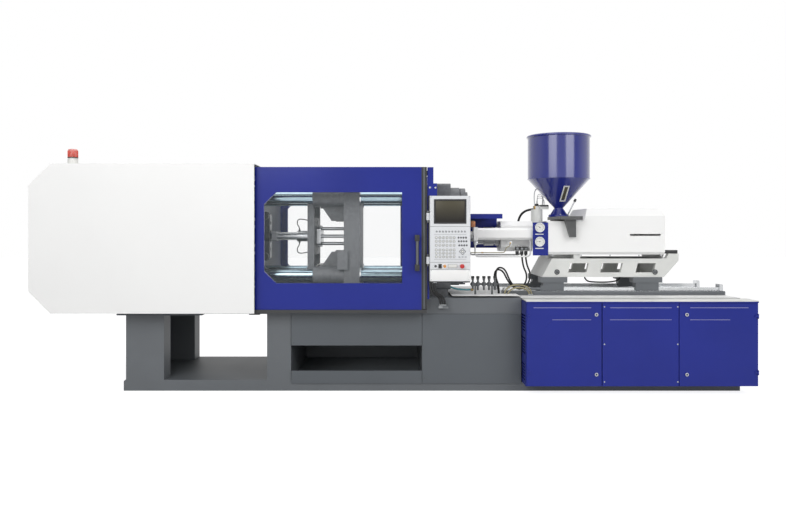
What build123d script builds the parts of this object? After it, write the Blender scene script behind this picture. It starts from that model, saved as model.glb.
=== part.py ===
from build123d import *
from math import atan2, cos, pi, radians, sin, sqrt, tan
import os

os.makedirs("parts", exist_ok=True)

# Injection moulding machine with a double toggle clamp, in millimetres.
# X runs along the machine, from the clamp end to the injection end.
# The operator stands on the -Y side. Z is up, and the floor is Z = 0.

# Overall places along the machine
CLAMP_END_X = -3070
INJECTION_END_X = 3070
CLAMP_Z = 1337
FLOOR_BEAM_H = 95
DECK_Z = 805
BASE_HALF_W = 590
BASE_X0 = -2317
BASE_JOINT_X = 1113
BASE_X1 = 3011
RUNNING_GAP = 0.05
SHEET = 4

# Base openings and pillars
FOOT_LEDGE = 20
LEG_W = 330
LEG_WALL = 22
LEG_FLANGE = 186
BAY_X1 = -1093
PILLAR_X1 = -885
PRODUCT_BAY_X1 = 252
BEAM_Z0 = 666
BEAM_W = 250
BAY_TOP_Z = 395
BAY_SILL_Z = 176
PANEL_T = 12

# Clamp: platens, tie bars and toggle
TIE_SPACING = 700
TIE_R = 55
PLATEN_HALF_W = 430
PLATEN_HALF_H = 473
MOULD_FACE_X = 273
FIXED_PLATEN_T = 240
DAYLIGHT_LOCKED = 570
MOVING_PLATE_T = 140
SLEEVE_R = 79
SLEEVE_L = 279
REAR_FLANGE_T = 60
REAR_FLANGE_HALF_W = 288
LINK_L = 346
PIVOT_H = 400
EYE_R = 60
HUB_R = 52
PIN_R = 30
LUG_REACH = 83
REAR_PLATE_Y0 = 100
LINK_PLATE_T = 50
SIDE_GAP = 2
TAIL_GAP = 193
TAIL_T = 230
NUT_T = 80
NUT_R = 95
CRANK_R = 250
CRANK_ANGLE = 45
CROSS_LINK_L = 180
CROSS_PIVOT_H = 190
CROSS_LINK_Y0 = 62
CROSS_LINK_T = 36
CROSS_EYE_R = 35
CROSS_PIN_R = 18
ROD_R = 40
GUIDE_ROD_R = 20
GUIDE_ROD_H = 125
GUIDE_ROD_ROOM = 6
EJECTOR_R = 34
EJECTOR_L = 365
EJECTOR_CAP = 82
EJECTOR_CAP_T = 48
EJECTOR_PLATE_HALF = 140
EJECTOR_STROKE = 130
BUSH_R = 50
PUSH_RODS = [(0, 0), (-100, 0), (100, 0), (0, -70), (0, 70)]
PUSH_ROD_R = 15
MOULD_BOLT_YS = (-210, -70, 70, 210)
MOULD_BOLT_ZS = (-210, -140, 140, 210)
MOULD_BOLT_R = 8.5
MOULD_BOLT_DEPTH = 40
LOCATING_BORE_R = 80

# Guards and doors
COVER_X1 = -1168
COVER_Y = BASE_HALF_W + 195
COVER_Z0 = 691
COVER_Z1 = 1954
COVER_CHAMFER = 185
DOOR_Y = BASE_HALF_W + 130
DOOR_T = 30
DOOR_SHEET = 3
WINDOW_RIM = 22
DOOR_X0 = -1173
DOOR_X1 = 242
DOOR_Z0 = 717
DOOR_Z1 = 1931
WINDOW_X0 = -1097
WINDOW_X1 = 77
WINDOW_Z0 = 942
WINDOW_Z1 = 1716
WINDOW_CHAMFER = 102
PANE_T = 6
EDGE_W = 46
GUARD_X1 = 345
GUARD_LUG_X1 = 376
GUARD_LUG_Z1 = 1793
GUARD_WIDE_Z0 = 1020
GUARD_STRIP_W = 16
SHOE_GAP = 0.3
HANDLE_X = 204
HANDLE_Z0 = 1050
HANDLE_Z1 = 1354

# Control panel
CONSOLE_X0 = 310
CONSOLE_X1 = 653
CONSOLE_Y = DOOR_Y + 56
CONSOLE_T = 70
CONSOLE_Z0 = 963
CONSOLE_Z1 = 1683
CONSOLE_HINGE_X = 296
CONSOLE_HINGE_Y = -DOOR_Y - 25
CONSOLE_HINGE_ZS = (1138, 1508)
CONSOLE_SEAM_ZS = (1063, 1123, 1424)
SCREEN_MARGIN = 42
SCREEN_Z0 = 1455
SCREEN_Z1 = 1648
SWITCH_Z = 1090
SWITCHES = {"key": 359, "rocker": 397, "selector": 436, "stop": 581}
STOP_TRAVEL = 6

# Cabinets under the injection unit
CABINET_X0 = 1118
CABINET_DOOR_X1 = 1756
CABINET_PANEL_X1 = 2402
CABINET_Y = BASE_HALF_W + 208
CABINET_REAR_Y = BASE_HALF_W + 220
CABINET_Z0 = 80
CABINET_Z1 = 789
CABINET_DOOR_T = 20
DOOR_SLIT = 3
HINGE_R = 5.85
HINGE_H = 40
HINGE_MID_H = 16
HINGE_ZS = (198, 671)
GROOVE_W = 5
GROOVE_DEPTH = 2
GROOVE_ZS = (641, 743)
VENT_ZS = (189, 412, 605)
VENT_SLOTS = 6
VENT_PITCH = 25
VENT_SLOT_H = 11
VENT_W = 190

# Injection unit
RAIL_Y = 255
RAIL_W = 44
RAIL_TOP_Z = 872
LEDGE_H = 33
RAIL_X0 = 975
RAIL_X1 = 2994
SEAT_Z0 = 968
SEAT_Z1 = 1136
HOPPER_X = 1569
SEAT_X0 = HOPPER_X - 217
SEAT_X1 = HOPPER_X + 891
SEAT_HALF_W = 300
SEAT_WINDOWS = ((238, 185), (528, 205), (848, 185))
CARRIAGE_TRAVEL = 350
NOZZLE_TIP_X = 690
BARREL_X0 = 800
BARREL_R = 75
SCREW_R = 27.5
HOUSING_X0 = HOPPER_X - 139
HOUSING_X1 = HOPPER_X + 131
HOUSING_HALF_W = 190
HOUSING_TOP_Z = 1465
VALVE_X = HOUSING_X0 - 56
VALVE_Y = 60
VALVE_R = 54
HEAT_COVER_X0 = 1002
HEAT_COVER_X1 = 1299
HEAT_COVER_HALF = 140
HEAT_COVER_CUT = 42
BAND_R = BARREL_R + 12
BAND_X0 = 860
BAND_W = 90
BAND_PITCH = 105
BAND_COUNT = 5
CARRIAGE_CYL_X0 = 768
CARRIAGE_CYL_X1 = 1277
CARRIAGE_CYL_HALF = 53
CARRIAGE_CYL_CUT = 19
CARRIAGE_CYL_Z = 1360
CARRIAGE_CYL_Y = 250
CYL_PIPE_R = 7
CYL_PIPE_Z = 1153
COVER_IX0 = HOPPER_X - 182
COVER_IX1 = HOPPER_X + 887
COVER_IY = 330
COVER_IZ0 = 1197
COVER_IZ1 = 1523
COVER_BEND = 67
COVER_ILOW = 1476
POINTER_Z = 1351
POINTER_SLOT_H = 17
INJECTION_STROKE = 240
HOPPER_RIM_Z = 2286
HOPPER_R = 288
HOPPER_CONE_Z1 = 1876
HOPPER_CONE_Z0 = 1603
HOPPER_NECK_R = 42
SIGHT_Z = 1735
SIGHT_L = 186
SIGHT_W = 56
SIGHT_ANGLE = -83.5
HOPPER_BASE_Z0 = 1490
HOPPER_BASE_T = 28
HOPPER_TRAVEL = 330
SPOUT_Z0 = 1330
GAUGE_R = 44
GAUGE_ZS = (1290, 1418)
MANIFOLD_Y = -400
MANIFOLD_Z = 912
MANIFOLD_XS = (712, 758, 812, 858, 910)

# Cable glands: the pair under the barrel cover's cables, and the conduit under the console
CABLE_R = 8
CABLE_DOWN_X = 957
CABLE_YS = (-322, -298)
GLAND_H = 14
CONDUIT_R = 8
CONDUIT_X = 448
CONDUIT_Y = -BASE_HALF_W - 65
CONDUIT_Z = 741

# Places worked out from the sizes above
FIXED_BACK_X = MOULD_FACE_X + FIXED_PLATEN_T
MOVING_FACE_X = MOULD_FACE_X - DAYLIGHT_LOCKED - 1
MOVING_BACK_X = MOVING_FACE_X - MOVING_PLATE_T
FLANGE_X1 = MOVING_BACK_X - SLEEVE_L
FLANGE_X0 = FLANGE_X1 - REAR_FLANGE_T
PIVOT_D_X = FLANGE_X0 - LUG_REACH
PIVOT_B_X = PIVOT_D_X - LINK_L
PIVOT_A_X = PIVOT_B_X - LINK_L
TAIL_FACE_X = PIVOT_A_X - TAIL_GAP
TAIL_BACK_X = TAIL_FACE_X - TAIL_T
TIE_END_X = TAIL_BACK_X - NUT_T - 30
CRANK_IN = CRANK_R * sin(radians(CRANK_ANGLE))
CROSS_DROP = PIVOT_H - CROSS_PIVOT_H
CROSS_X = PIVOT_A_X + CRANK_IN + sqrt(CROSS_LINK_L**2 - (CROSS_DROP - CRANK_IN) ** 2)
FRONT_PLATE_Y0 = REAR_PLATE_Y0 + LINK_PLATE_T + SIDE_GAP
PLATEN_LUG_Y0 = FRONT_PLATE_Y0 + LINK_PLATE_T + SIDE_GAP
TIE_HALF = TIE_SPACING / 2
TIE_POINTS = [(y, CLAMP_Z + z) for y in (-TIE_HALF, TIE_HALF) for z in (-TIE_HALF, TIE_HALF)]


def block(x0, x1, y0, y1, z0, z1, mode=Mode.ADD):
    """Rectangular block between two corners."""
    with Locations(((x0 + x1) / 2, (y0 + y1) / 2, (z0 + z1) / 2)):
        Box(x1 - x0, y1 - y0, z1 - z0, mode=mode)


def round_x(x0, x1, y, z, radius, mode=Mode.ADD):
    """Round bar or bore along X."""
    with Locations(Location(((x0 + x1) / 2, y, z), (0, 90, 0))):
        Cylinder(radius, x1 - x0, mode=mode)


def round_y(y0, y1, x, z, radius, mode=Mode.ADD):
    """Round bar or bore along Y."""
    with Locations(Location((x, (y0 + y1) / 2, z), (90, 0, 0))):
        Cylinder(radius, y1 - y0, mode=mode)


def round_z(z0, z1, x, y, radius, mode=Mode.ADD):
    """Round bar or bore along Z."""
    with Locations((x, y, (z0 + z1) / 2)):
        Cylinder(radius, z1 - z0, mode=mode)


def link_plate(points, radii, y0, thickness):
    """Flat link seen from the side: an eye at each point and the body between them."""
    with BuildSketch(Plane.XZ.offset(-(y0 + thickness))) as outline:
        for (x, z), radius in zip(points, radii):
            with Locations((x, z)):
                Circle(radius)
        make_hull(outline.edges())
    extrude(outline.sketch, amount=thickness)


def mould_bolt_holes(x0, x1):
    """Rows of holes for the bolts that hold a mould half on its platen."""
    for y in MOULD_BOLT_YS:
        for z in MOULD_BOLT_ZS:
            round_x(x0, x1, y, CLAMP_Z + z, MOULD_BOLT_R, Mode.SUBTRACT)


def plate_xz(points, y0, y1, mode=Mode.ADD):
    """Flat plate with an outline in the XZ plane, from y0 to y1."""
    with BuildSketch(Plane.XZ.offset(-y1)) as outline:
        with BuildLine():
            Polyline(*points, close=True)
        make_face()
    extrude(outline.sketch, amount=y1 - y0, mode=mode)


def on_both_sides(y0, thickness):
    """Start of a plate on the operator side and of its twin on the rear side."""
    return (-y0 - thickness, y0)


# Clamp base: a floor slab, a channel-shaped end leg, cross walls and two top beams
with BuildPart() as clamp_base:
    block(BASE_X0 - FOOT_LEDGE, BASE_JOINT_X, -BASE_HALF_W, BASE_HALF_W, 0, FLOOR_BEAM_H)
    block(BASE_X0, BASE_X0 + LEG_W, -BASE_HALF_W, BASE_HALF_W, FLOOR_BEAM_H, DECK_Z)
    block(BAY_X1, PILLAR_X1, -BASE_HALF_W, BASE_HALF_W, FLOOR_BEAM_H, DECK_Z)
    block(PRODUCT_BAY_X1, BASE_JOINT_X, -BASE_HALF_W, BASE_HALF_W, FLOOR_BEAM_H, DECK_Z)
    for y in (-BASE_HALF_W, BASE_HALF_W - BEAM_W):
        block(BASE_X0, BASE_JOINT_X, y, y + BEAM_W, BEAM_Z0, DECK_Z)
    block(PILLAR_X1, PRODUCT_BAY_X1, BASE_HALF_W - 30, BASE_HALF_W, FLOOR_BEAM_H, BEAM_Z0)
    leg_open = BASE_HALF_W - LEG_FLANGE
    block(
        BASE_X0 + LEG_WALL, BASE_X0 + LEG_W, -leg_open, leg_open,
        FLOOR_BEAM_H, DECK_Z - LEG_WALL, Mode.SUBTRACT,
    )
    chamfer(clamp_base.edges().filter_by(Axis.Y).sort_by(Axis.X)[0:2].sort_by(Axis.Z)[-1], length=12)
    for y in CABLE_YS:
        round_z(DECK_Z, DECK_Z + GLAND_H, CABLE_DOWN_X, y, CABLE_R + 6)
    block(CONDUIT_X - 23, CONDUIT_X + 23, CONDUIT_Y - 35, -BASE_HALF_W, CONDUIT_Z - 6, CONDUIT_Z)
clamp_base.part.label = "clamp_base"
export_step(clamp_base.part, "parts/clamp_base.step")

# Injection base: slab, deck, end walls and a middle web, with the cabinets in its sides
with BuildPart() as injection_base:
    block(BASE_JOINT_X, BASE_X1, -BASE_HALF_W, BASE_HALF_W, 0, FLOOR_BEAM_H - 20)
    block(BASE_JOINT_X, BASE_X1, -BASE_HALF_W, BASE_HALF_W, CABINET_Z1 + 1, DECK_Z)
    block(BASE_JOINT_X, BASE_JOINT_X + 60, -BASE_HALF_W + 60, BASE_HALF_W - 60, 70, DECK_Z)
    block(BASE_X1 - 60, BASE_X1, -BASE_HALF_W + 60, BASE_HALF_W - 60, 70, DECK_Z)
    block(BASE_JOINT_X, BASE_X1, -40, 40, 70, DECK_Z)
injection_base.part.label = "injection_base"
export_step(injection_base.part, "parts/injection_base.step")

# Screwed cover plates on both sides of the clamp base
with BuildPart() as base_panels:
    for y in (-BASE_HALF_W - PANEL_T, BASE_HALF_W):
        block(PILLAR_X1 + 4, PRODUCT_BAY_X1 - 2, y, y + PANEL_T, BAY_TOP_Z, COVER_Z0 - 5)
        block(PILLAR_X1 + 4, PRODUCT_BAY_X1 - 2, y, y + PANEL_T, FLOOR_BEAM_H - 30, BAY_SILL_Z)
        block(PRODUCT_BAY_X1 + 2, BASE_JOINT_X - 4, y, y + PANEL_T, FLOOR_BEAM_H - 30, BEAM_Z0)
base_panels.part.label = "base_panels"
export_step(base_panels.part, "parts/base_panels.step")

# Fixed platen on two feet, with the tie bar bores, the locating bore and the nozzle cone
with BuildPart() as fixed_platen:
    block(
        MOULD_FACE_X, FIXED_BACK_X, -PLATEN_HALF_W, PLATEN_HALF_W,
        CLAMP_Z - PLATEN_HALF_H, CLAMP_Z + PLATEN_HALF_H,
    )
    fillet(fixed_platen.edges().filter_by(Axis.X), radius=30)
    for y in (-PLATEN_HALF_W + 20, PLATEN_HALF_W - 170):
        block(MOULD_FACE_X + 20, FIXED_BACK_X - 20, y, y + 150, DECK_Z, CLAMP_Z - PLATEN_HALF_H + 20)
    for y, z in TIE_POINTS:
        round_x(MOULD_FACE_X, FIXED_BACK_X, y, z, TIE_R, Mode.SUBTRACT)
    round_x(MOULD_FACE_X, MOULD_FACE_X + 40, 0, CLAMP_Z, LOCATING_BORE_R, Mode.SUBTRACT)
    with Locations(Location(((MOULD_FACE_X + FIXED_BACK_X + 40) / 2, 0, CLAMP_Z), (0, 90, 0))):
        Cone(50, 130, FIXED_PLATEN_T - 40, mode=Mode.SUBTRACT)
    mould_bolt_holes(MOULD_FACE_X, MOULD_FACE_X + MOULD_BOLT_DEPTH)
fixed_platen.part.label = "fixed_platen"
export_step(fixed_platen.part, "parts/fixed_platen.step")

# Four tie bars
with BuildPart() as tie_bars:
    for y, z in TIE_POINTS:
        round_x(TIE_END_X, FIXED_BACK_X + 80, y, z, TIE_R)
tie_bars.part.label = "tie_bars"
export_step(tie_bars.part, "parts/tie_bars.step")

# Nuts and lock discs behind the fixed platen
with BuildPart() as tie_bar_nuts:
    for y, z in TIE_POINTS:
        round_x(FIXED_BACK_X, FIXED_BACK_X + 81, y, z, 88)
        round_x(FIXED_BACK_X + 81, FIXED_BACK_X + 88, y, z, 60)
        round_x(FIXED_BACK_X + 88, FIXED_BACK_X + 133, y, z, 82)
        round_x(FIXED_BACK_X + 133, FIXED_BACK_X + 154, y, z, 48)
        round_x(FIXED_BACK_X, FIXED_BACK_X + 80, y, z, TIE_R, Mode.SUBTRACT)
tie_bar_nuts.part.label = "tie_bar_nuts"
export_step(tie_bar_nuts.part, "parts/tie_bar_nuts.step")

def lug_foot(y0, z):
    """Curved foot that spreads a toggle lug's load into the rear flange, toward the middle."""
    up = 1 if z > 0 else -1
    radius = 88
    edge = CLAMP_Z + z - up * 58
    with BuildSketch(Plane.XZ.offset(-y0 - LINK_PLATE_T)) as outline:
        with BuildLine():
            Line((FLANGE_X0 + 1, edge), (FLANGE_X0 - radius, edge))
            ThreePointArc(
                (FLANGE_X0 - radius, edge),
                (FLANGE_X0 - radius * (1 - sin(radians(45))), edge - up * radius * (1 - cos(radians(45)))),
                (FLANGE_X0, edge - up * radius),
            )
            Line((FLANGE_X0, edge - up * radius), (FLANGE_X0 + 1, edge - up * radius))
            Line((FLANGE_X0 + 1, edge - up * radius), (FLANGE_X0 + 1, edge))
        make_face()
    extrude(outline.sketch, amount=LINK_PLATE_T)


# Moving platen: mould plate, four guide sleeves, ribs, a rear flange, toggle lugs and a terminal box
with BuildPart() as moving_platen:
    block(
        MOVING_BACK_X, MOVING_FACE_X, -PLATEN_HALF_W, PLATEN_HALF_W,
        CLAMP_Z - PLATEN_HALF_H, CLAMP_Z + PLATEN_HALF_H,
    )
    fillet(moving_platen.edges().filter_by(Axis.X), radius=30)
    for y, z in TIE_POINTS:
        round_x(FLANGE_X1, MOVING_BACK_X, y, z, SLEEVE_R)
    flange_w = REAR_FLANGE_HALF_W
    for z in (-TIE_HALF, TIE_HALF):
        block(FLANGE_X0, FLANGE_X1, -flange_w, flange_w, CLAMP_Z + z - 75, CLAMP_Z + z + 75)
    for y in (-flange_w, flange_w - 60):
        block(FLANGE_X0, FLANGE_X1, y, y + 60, CLAMP_Z - TIE_HALF, CLAMP_Z + TIE_HALF)
    block(FLANGE_X0, FLANGE_X1, -flange_w, flange_w, CLAMP_Z - 170, CLAMP_Z + 170)
    for y in (-flange_w, flange_w - 45):
        for up in (-1, 1):
            rim = [
                (FLANGE_X1 - 1, CLAMP_Z + up * 330), (MOVING_BACK_X + 1, CLAMP_Z + up * 330),
                (MOVING_BACK_X + 1, CLAMP_Z + up * 140), (MOVING_BACK_X - 120, CLAMP_Z + up * 140),
                (MOVING_BACK_X - 212, CLAMP_Z + up * 274), (FLANGE_X1 - 1, CLAMP_Z + up * 300),
            ]
            plate_xz(rim, y, y + 45)
    for y in (-PLATEN_HALF_W + 10, PLATEN_HALF_W - 85):
        block(MOVING_BACK_X, MOVING_FACE_X - 10, y, y + 75, DECK_Z + SHOE_GAP, CLAMP_Z - PLATEN_HALF_H + 20)
    for up in (-1, 1):
        z0, z1 = sorted([CLAMP_Z + up * 290, CLAMP_Z + up * 330])
        block(FLANGE_X1 - 1, MOVING_BACK_X + 1, -flange_w, flange_w, z0, z1)
    for side in on_both_sides(PLATEN_LUG_Y0, LINK_PLATE_T):
        for z in (-PIVOT_H, PIVOT_H):
            link_plate(
                [(PIVOT_D_X, CLAMP_Z + z), (FLANGE_X0 + 20, CLAMP_Z + z)], [65, 75], side, LINK_PLATE_T,
            )
            lug_foot(side, z)
    for z in (-PIVOT_H, PIVOT_H):
        reach = PLATEN_LUG_Y0 + 10
        round_y(-reach, reach, PIVOT_D_X, CLAMP_Z + z, PIN_R)
    block(MOVING_BACK_X - 55, MOVING_FACE_X - 102, -PLATEN_HALF_W - 40, -PLATEN_HALF_W, 1045, 1211)
    for y, z in TIE_POINTS:
        round_x(FLANGE_X1, MOVING_FACE_X, y, z, TIE_R + RUNNING_GAP, Mode.SUBTRACT)
    round_x(FLANGE_X0, FLANGE_X1, 0, CLAMP_Z, BUSH_R, Mode.SUBTRACT)
    for z in (-GUIDE_ROD_H, GUIDE_ROD_H):
        round_x(FLANGE_X0, FLANGE_X1, 0, CLAMP_Z + z, GUIDE_ROD_R + GUIDE_ROD_ROOM, Mode.SUBTRACT)
    for y, z in PUSH_RODS:
        round_x(MOVING_BACK_X, MOVING_FACE_X, y, CLAMP_Z + z, PUSH_ROD_R + RUNNING_GAP, Mode.SUBTRACT)
    mould_bolt_holes(MOVING_FACE_X - MOULD_BOLT_DEPTH, MOVING_FACE_X)
moving_platen.part.label = "moving_platen"
export_step(moving_platen.part, "parts/moving_platen.step")

# Tail platen with the toggle lugs and the two crosshead guide rods
with BuildPart() as tail_platen:
    block(
        TAIL_BACK_X, TAIL_FACE_X, -PLATEN_HALF_W, PLATEN_HALF_W,
        CLAMP_Z - PLATEN_HALF_H, CLAMP_Z + PLATEN_HALF_H,
    )
    fillet(tail_platen.edges().filter_by(Axis.X), radius=30)
    for side in on_both_sides(FRONT_PLATE_Y0, LINK_PLATE_T):
        for z in (-PIVOT_H, PIVOT_H):
            link_plate(
                [(PIVOT_A_X, CLAMP_Z + z), (TAIL_FACE_X - 20, CLAMP_Z + z)], [65, 72], side, LINK_PLATE_T,
            )
    for z in (-PIVOT_H, PIVOT_H):
        reach = FRONT_PLATE_Y0 + 10
        round_y(-reach, reach, PIVOT_A_X, CLAMP_Z + z, PIN_R)
    for y in (-PLATEN_HALF_W + 10, PLATEN_HALF_W - 85):
        block(TAIL_BACK_X + 20, TAIL_FACE_X - 20, y, y + 75, DECK_Z + SHOE_GAP, CLAMP_Z - PLATEN_HALF_H + 20)
    for z in (-GUIDE_ROD_H, GUIDE_ROD_H):
        round_x(TAIL_FACE_X - 10, CROSS_X + 18, 0, CLAMP_Z + z, GUIDE_ROD_R)
    for y, z in TIE_POINTS:
        round_x(TAIL_BACK_X, TAIL_FACE_X, y, z, TIE_R + RUNNING_GAP, Mode.SUBTRACT)
    round_x(TAIL_BACK_X, TAIL_FACE_X, 0, CLAMP_Z, ROD_R + 5, Mode.SUBTRACT)
tail_platen.part.label = "tail_platen"
export_step(tail_platen.part, "parts/tail_platen.step")

# Adjusting nuts with their toothed rims, behind the tail platen
with BuildPart() as adjusting_nuts:
    for y, z in TIE_POINTS:
        round_x(TAIL_BACK_X - NUT_T, TAIL_BACK_X, y, z, NUT_R - 12)
        round_x(TAIL_BACK_X - 50, TAIL_BACK_X - 20, y, z, NUT_R)
        round_x(TAIL_BACK_X - NUT_T, TAIL_BACK_X, y, z, TIE_R + RUNNING_GAP, Mode.SUBTRACT)
adjusting_nuts.part.label = "adjusting_nuts"
export_step(adjusting_nuts.part, "parts/adjusting_nuts.step")

# Clamp cylinder bolted to the back of the tail platen
CYLINDER_END_X = TAIL_BACK_X - 520
with BuildPart() as clamp_cylinder:
    round_x(CYLINDER_END_X, TAIL_BACK_X, 0, CLAMP_Z, 105)
    round_x(TAIL_BACK_X - 45, TAIL_BACK_X, 0, CLAMP_Z, 165)
    round_x(CYLINDER_END_X, CYLINDER_END_X + 50, 0, CLAMP_Z, 125)
    round_x(CYLINDER_END_X + 40, TAIL_BACK_X - 40, 0, CLAMP_Z, 80, Mode.SUBTRACT)
    round_x(TAIL_BACK_X - 60, TAIL_BACK_X, 0, CLAMP_Z, ROD_R + RUNNING_GAP, Mode.SUBTRACT)
clamp_cylinder.part.label = "clamp_cylinder"
export_step(clamp_cylinder.part, "parts/clamp_cylinder.step")

# Crosshead: guide body with a hollow cup for the ejector cylinder, and the piston rod
CUP_END_X = CROSS_X - 230
with BuildPart() as crosshead:
    block(CROSS_X - 40, CROSS_X + 40, -58, 58, CLAMP_Z - CROSS_PIVOT_H, CLAMP_Z + CROSS_PIVOT_H)
    round_x(CUP_END_X, CROSS_X + 40, 0, CLAMP_Z, 74)
    for z in (-CROSS_PIVOT_H, CROSS_PIVOT_H):
        round_y(-58, 58, CROSS_X, CLAMP_Z + z, 40)
        reach = CROSS_LINK_Y0 + CROSS_LINK_T - 1
        round_y(-reach, reach, CROSS_X, CLAMP_Z + z, CROSS_PIN_R)
    round_x(CUP_END_X + 24, CROSS_X + 40, 0, CLAMP_Z, 60, Mode.SUBTRACT)
    for z in (-GUIDE_ROD_H, GUIDE_ROD_H):
        round_x(CROSS_X - 40, CROSS_X + 40, 0, CLAMP_Z + z, GUIDE_ROD_R + RUNNING_GAP, Mode.SUBTRACT)
    round_x(TAIL_BACK_X - 100, CUP_END_X + 5, 0, CLAMP_Z, ROD_R)
    round_x(TAIL_BACK_X - 120, TAIL_BACK_X - 70, 0, CLAMP_Z, 80 - RUNNING_GAP)
crosshead.part.label = "crosshead"
export_step(crosshead.part, "parts/crosshead.step")


def rear_link(side):
    """Rear toggle link: two side plates on a hub round the tail pin, with the knee pins in it."""
    pivot = (PIVOT_A_X, CLAMP_Z + side * PIVOT_H)
    knee = (PIVOT_B_X, CLAMP_Z + side * PIVOT_H)
    crank = (PIVOT_A_X + CRANK_IN, CLAMP_Z + side * (PIVOT_H - CRANK_IN))
    with BuildPart() as link:
        for y0 in on_both_sides(REAR_PLATE_Y0, LINK_PLATE_T):
            link_plate([pivot, knee, crank], [EYE_R, EYE_R - 2, 38], y0, LINK_PLATE_T)
        outer = REAR_PLATE_Y0 + LINK_PLATE_T
        round_y(-outer, outer, pivot[0], pivot[1], HUB_R)
        knee_reach = FRONT_PLATE_Y0 + LINK_PLATE_T
        for start in (-knee_reach, REAR_PLATE_Y0):
            round_y(start, start + knee_reach - REAR_PLATE_Y0, knee[0], knee[1], PIN_R)
        round_y(-outer, outer, pivot[0], pivot[1], PIN_R + RUNNING_GAP, Mode.SUBTRACT)
    return link.part


def front_link(side):
    """Front toggle link: two outer side plates on a hub round the moving platen's pin."""
    pivot = (PIVOT_D_X, CLAMP_Z + side * PIVOT_H)
    knee = (PIVOT_B_X, CLAMP_Z + side * PIVOT_H)
    with BuildPart() as link:
        for y0 in on_both_sides(FRONT_PLATE_Y0, LINK_PLATE_T):
            link_plate([pivot, knee], [EYE_R, EYE_R - 2], y0, LINK_PLATE_T)
        outer = FRONT_PLATE_Y0 + LINK_PLATE_T
        round_y(-outer, outer, pivot[0], pivot[1], HUB_R)
        round_y(-outer, outer, pivot[0], pivot[1], PIN_R + RUNNING_GAP, Mode.SUBTRACT)
        round_y(-outer, outer, knee[0], knee[1], PIN_R + RUNNING_GAP, Mode.SUBTRACT)
    return link.part


def crosshead_link(side):
    """Pair of short links between the crosshead and the crank of a rear link."""
    inner = (CROSS_X, CLAMP_Z + side * CROSS_PIVOT_H)
    outer = (PIVOT_A_X + CRANK_IN, CLAMP_Z + side * (PIVOT_H - CRANK_IN))
    with BuildPart() as link:
        for y0 in on_both_sides(CROSS_LINK_Y0, CROSS_LINK_T):
            link_plate([inner, outer], [CROSS_EYE_R, CROSS_EYE_R - 2], y0, CROSS_LINK_T)
            round_y(y0, y0 + CROSS_LINK_T, inner[0], inner[1], CROSS_PIN_R + RUNNING_GAP, Mode.SUBTRACT)
    return link.part


rear_link_upper = rear_link(1)
rear_link_upper.label = "rear_link_upper"
export_step(rear_link_upper, "parts/rear_link_upper.step")
rear_link_lower = rear_link(-1)
rear_link_lower.label = "rear_link_lower"
export_step(rear_link_lower, "parts/rear_link_lower.step")
front_link_upper = front_link(1)
front_link_upper.label = "front_link_upper"
export_step(front_link_upper, "parts/front_link_upper.step")
front_link_lower = front_link(-1)
front_link_lower.label = "front_link_lower"
export_step(front_link_lower, "parts/front_link_lower.step")
crosshead_link_upper = crosshead_link(1)
crosshead_link_upper.label = "crosshead_link_upper"
export_step(crosshead_link_upper, "parts/crosshead_link_upper.step")
crosshead_link_lower = crosshead_link(-1)
crosshead_link_lower.label = "crosshead_link_lower"
export_step(crosshead_link_lower, "parts/crosshead_link_lower.step")

# Ejector cylinder on the rear flange: flange bush, tube, square end cap and four tie rods
EJECTOR_END_X = FLANGE_X0 - EJECTOR_L
EJECTOR_BORE_R = EJECTOR_R - 8
with BuildPart() as ejector_cylinder:
    round_x(EJECTOR_END_X, FLANGE_X0, 0, CLAMP_Z, EJECTOR_R)
    round_x(FLANGE_X0 - 130, FLANGE_X1, 0, CLAMP_Z, BUSH_R - RUNNING_GAP)
    half = EJECTOR_CAP / 2
    block(EJECTOR_END_X, EJECTOR_END_X + EJECTOR_CAP_T, -half, half, CLAMP_Z - half, CLAMP_Z + half)
    fillet(ejector_cylinder.edges().filter_by(Axis.X).sort_by(Axis.X)[0:4], radius=6)
    for y in (-half + 10, half - 10):
        for z in (-half + 10, half - 10):
            round_x(EJECTOR_END_X - 12, FLANGE_X0 - 125, y, CLAMP_Z + z, 6)
    round_x(EJECTOR_END_X + EJECTOR_CAP_T, FLANGE_X0 - 20, 0, CLAMP_Z, EJECTOR_BORE_R, Mode.SUBTRACT)
    round_x(FLANGE_X0 - 21, FLANGE_X1, 0, CLAMP_Z, 16 + RUNNING_GAP, Mode.SUBTRACT)
ejector_cylinder.part.label = "ejector_cylinder"
export_step(ejector_cylinder.part, "parts/ejector_cylinder.step")

# Ejector plate against the rear flange, with its five push rods and the piston rod. It stays
# between the guide rods, which reach through the flange when the clamp is open.
EJECTOR_PLATE_X = FLANGE_X1 + 8
EJECTOR_PLATE_T = 40
EJECTOR_ARM_H = GUIDE_ROD_H - GUIDE_ROD_R - GUIDE_ROD_ROOM
with BuildPart() as ejector_plate:
    half = EJECTOR_PLATE_HALF
    block(EJECTOR_PLATE_X, EJECTOR_PLATE_X + EJECTOR_PLATE_T, -half, half, CLAMP_Z - 75, CLAMP_Z + 75)
    arm = EJECTOR_ARM_H
    block(EJECTOR_PLATE_X, EJECTOR_PLATE_X + EJECTOR_PLATE_T, -45, 45, CLAMP_Z - arm, CLAMP_Z + arm)
    fillet(ejector_plate.edges().filter_by(Axis.X), radius=10)
    for y, z in PUSH_RODS:
        round_x(EJECTOR_PLATE_X + 10, MOVING_FACE_X - 2, y, CLAMP_Z + z, PUSH_ROD_R)
    round_x(FLANGE_X0 - 180, EJECTOR_PLATE_X + 10, 0, CLAMP_Z, 16)
    round_x(FLANGE_X0 - 180, FLANGE_X0 - 155, 0, CLAMP_Z, EJECTOR_BORE_R - RUNNING_GAP)
ejector_plate.part.label = "ejector_plate"
export_step(ejector_plate.part, "parts/ejector_plate.step")

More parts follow.
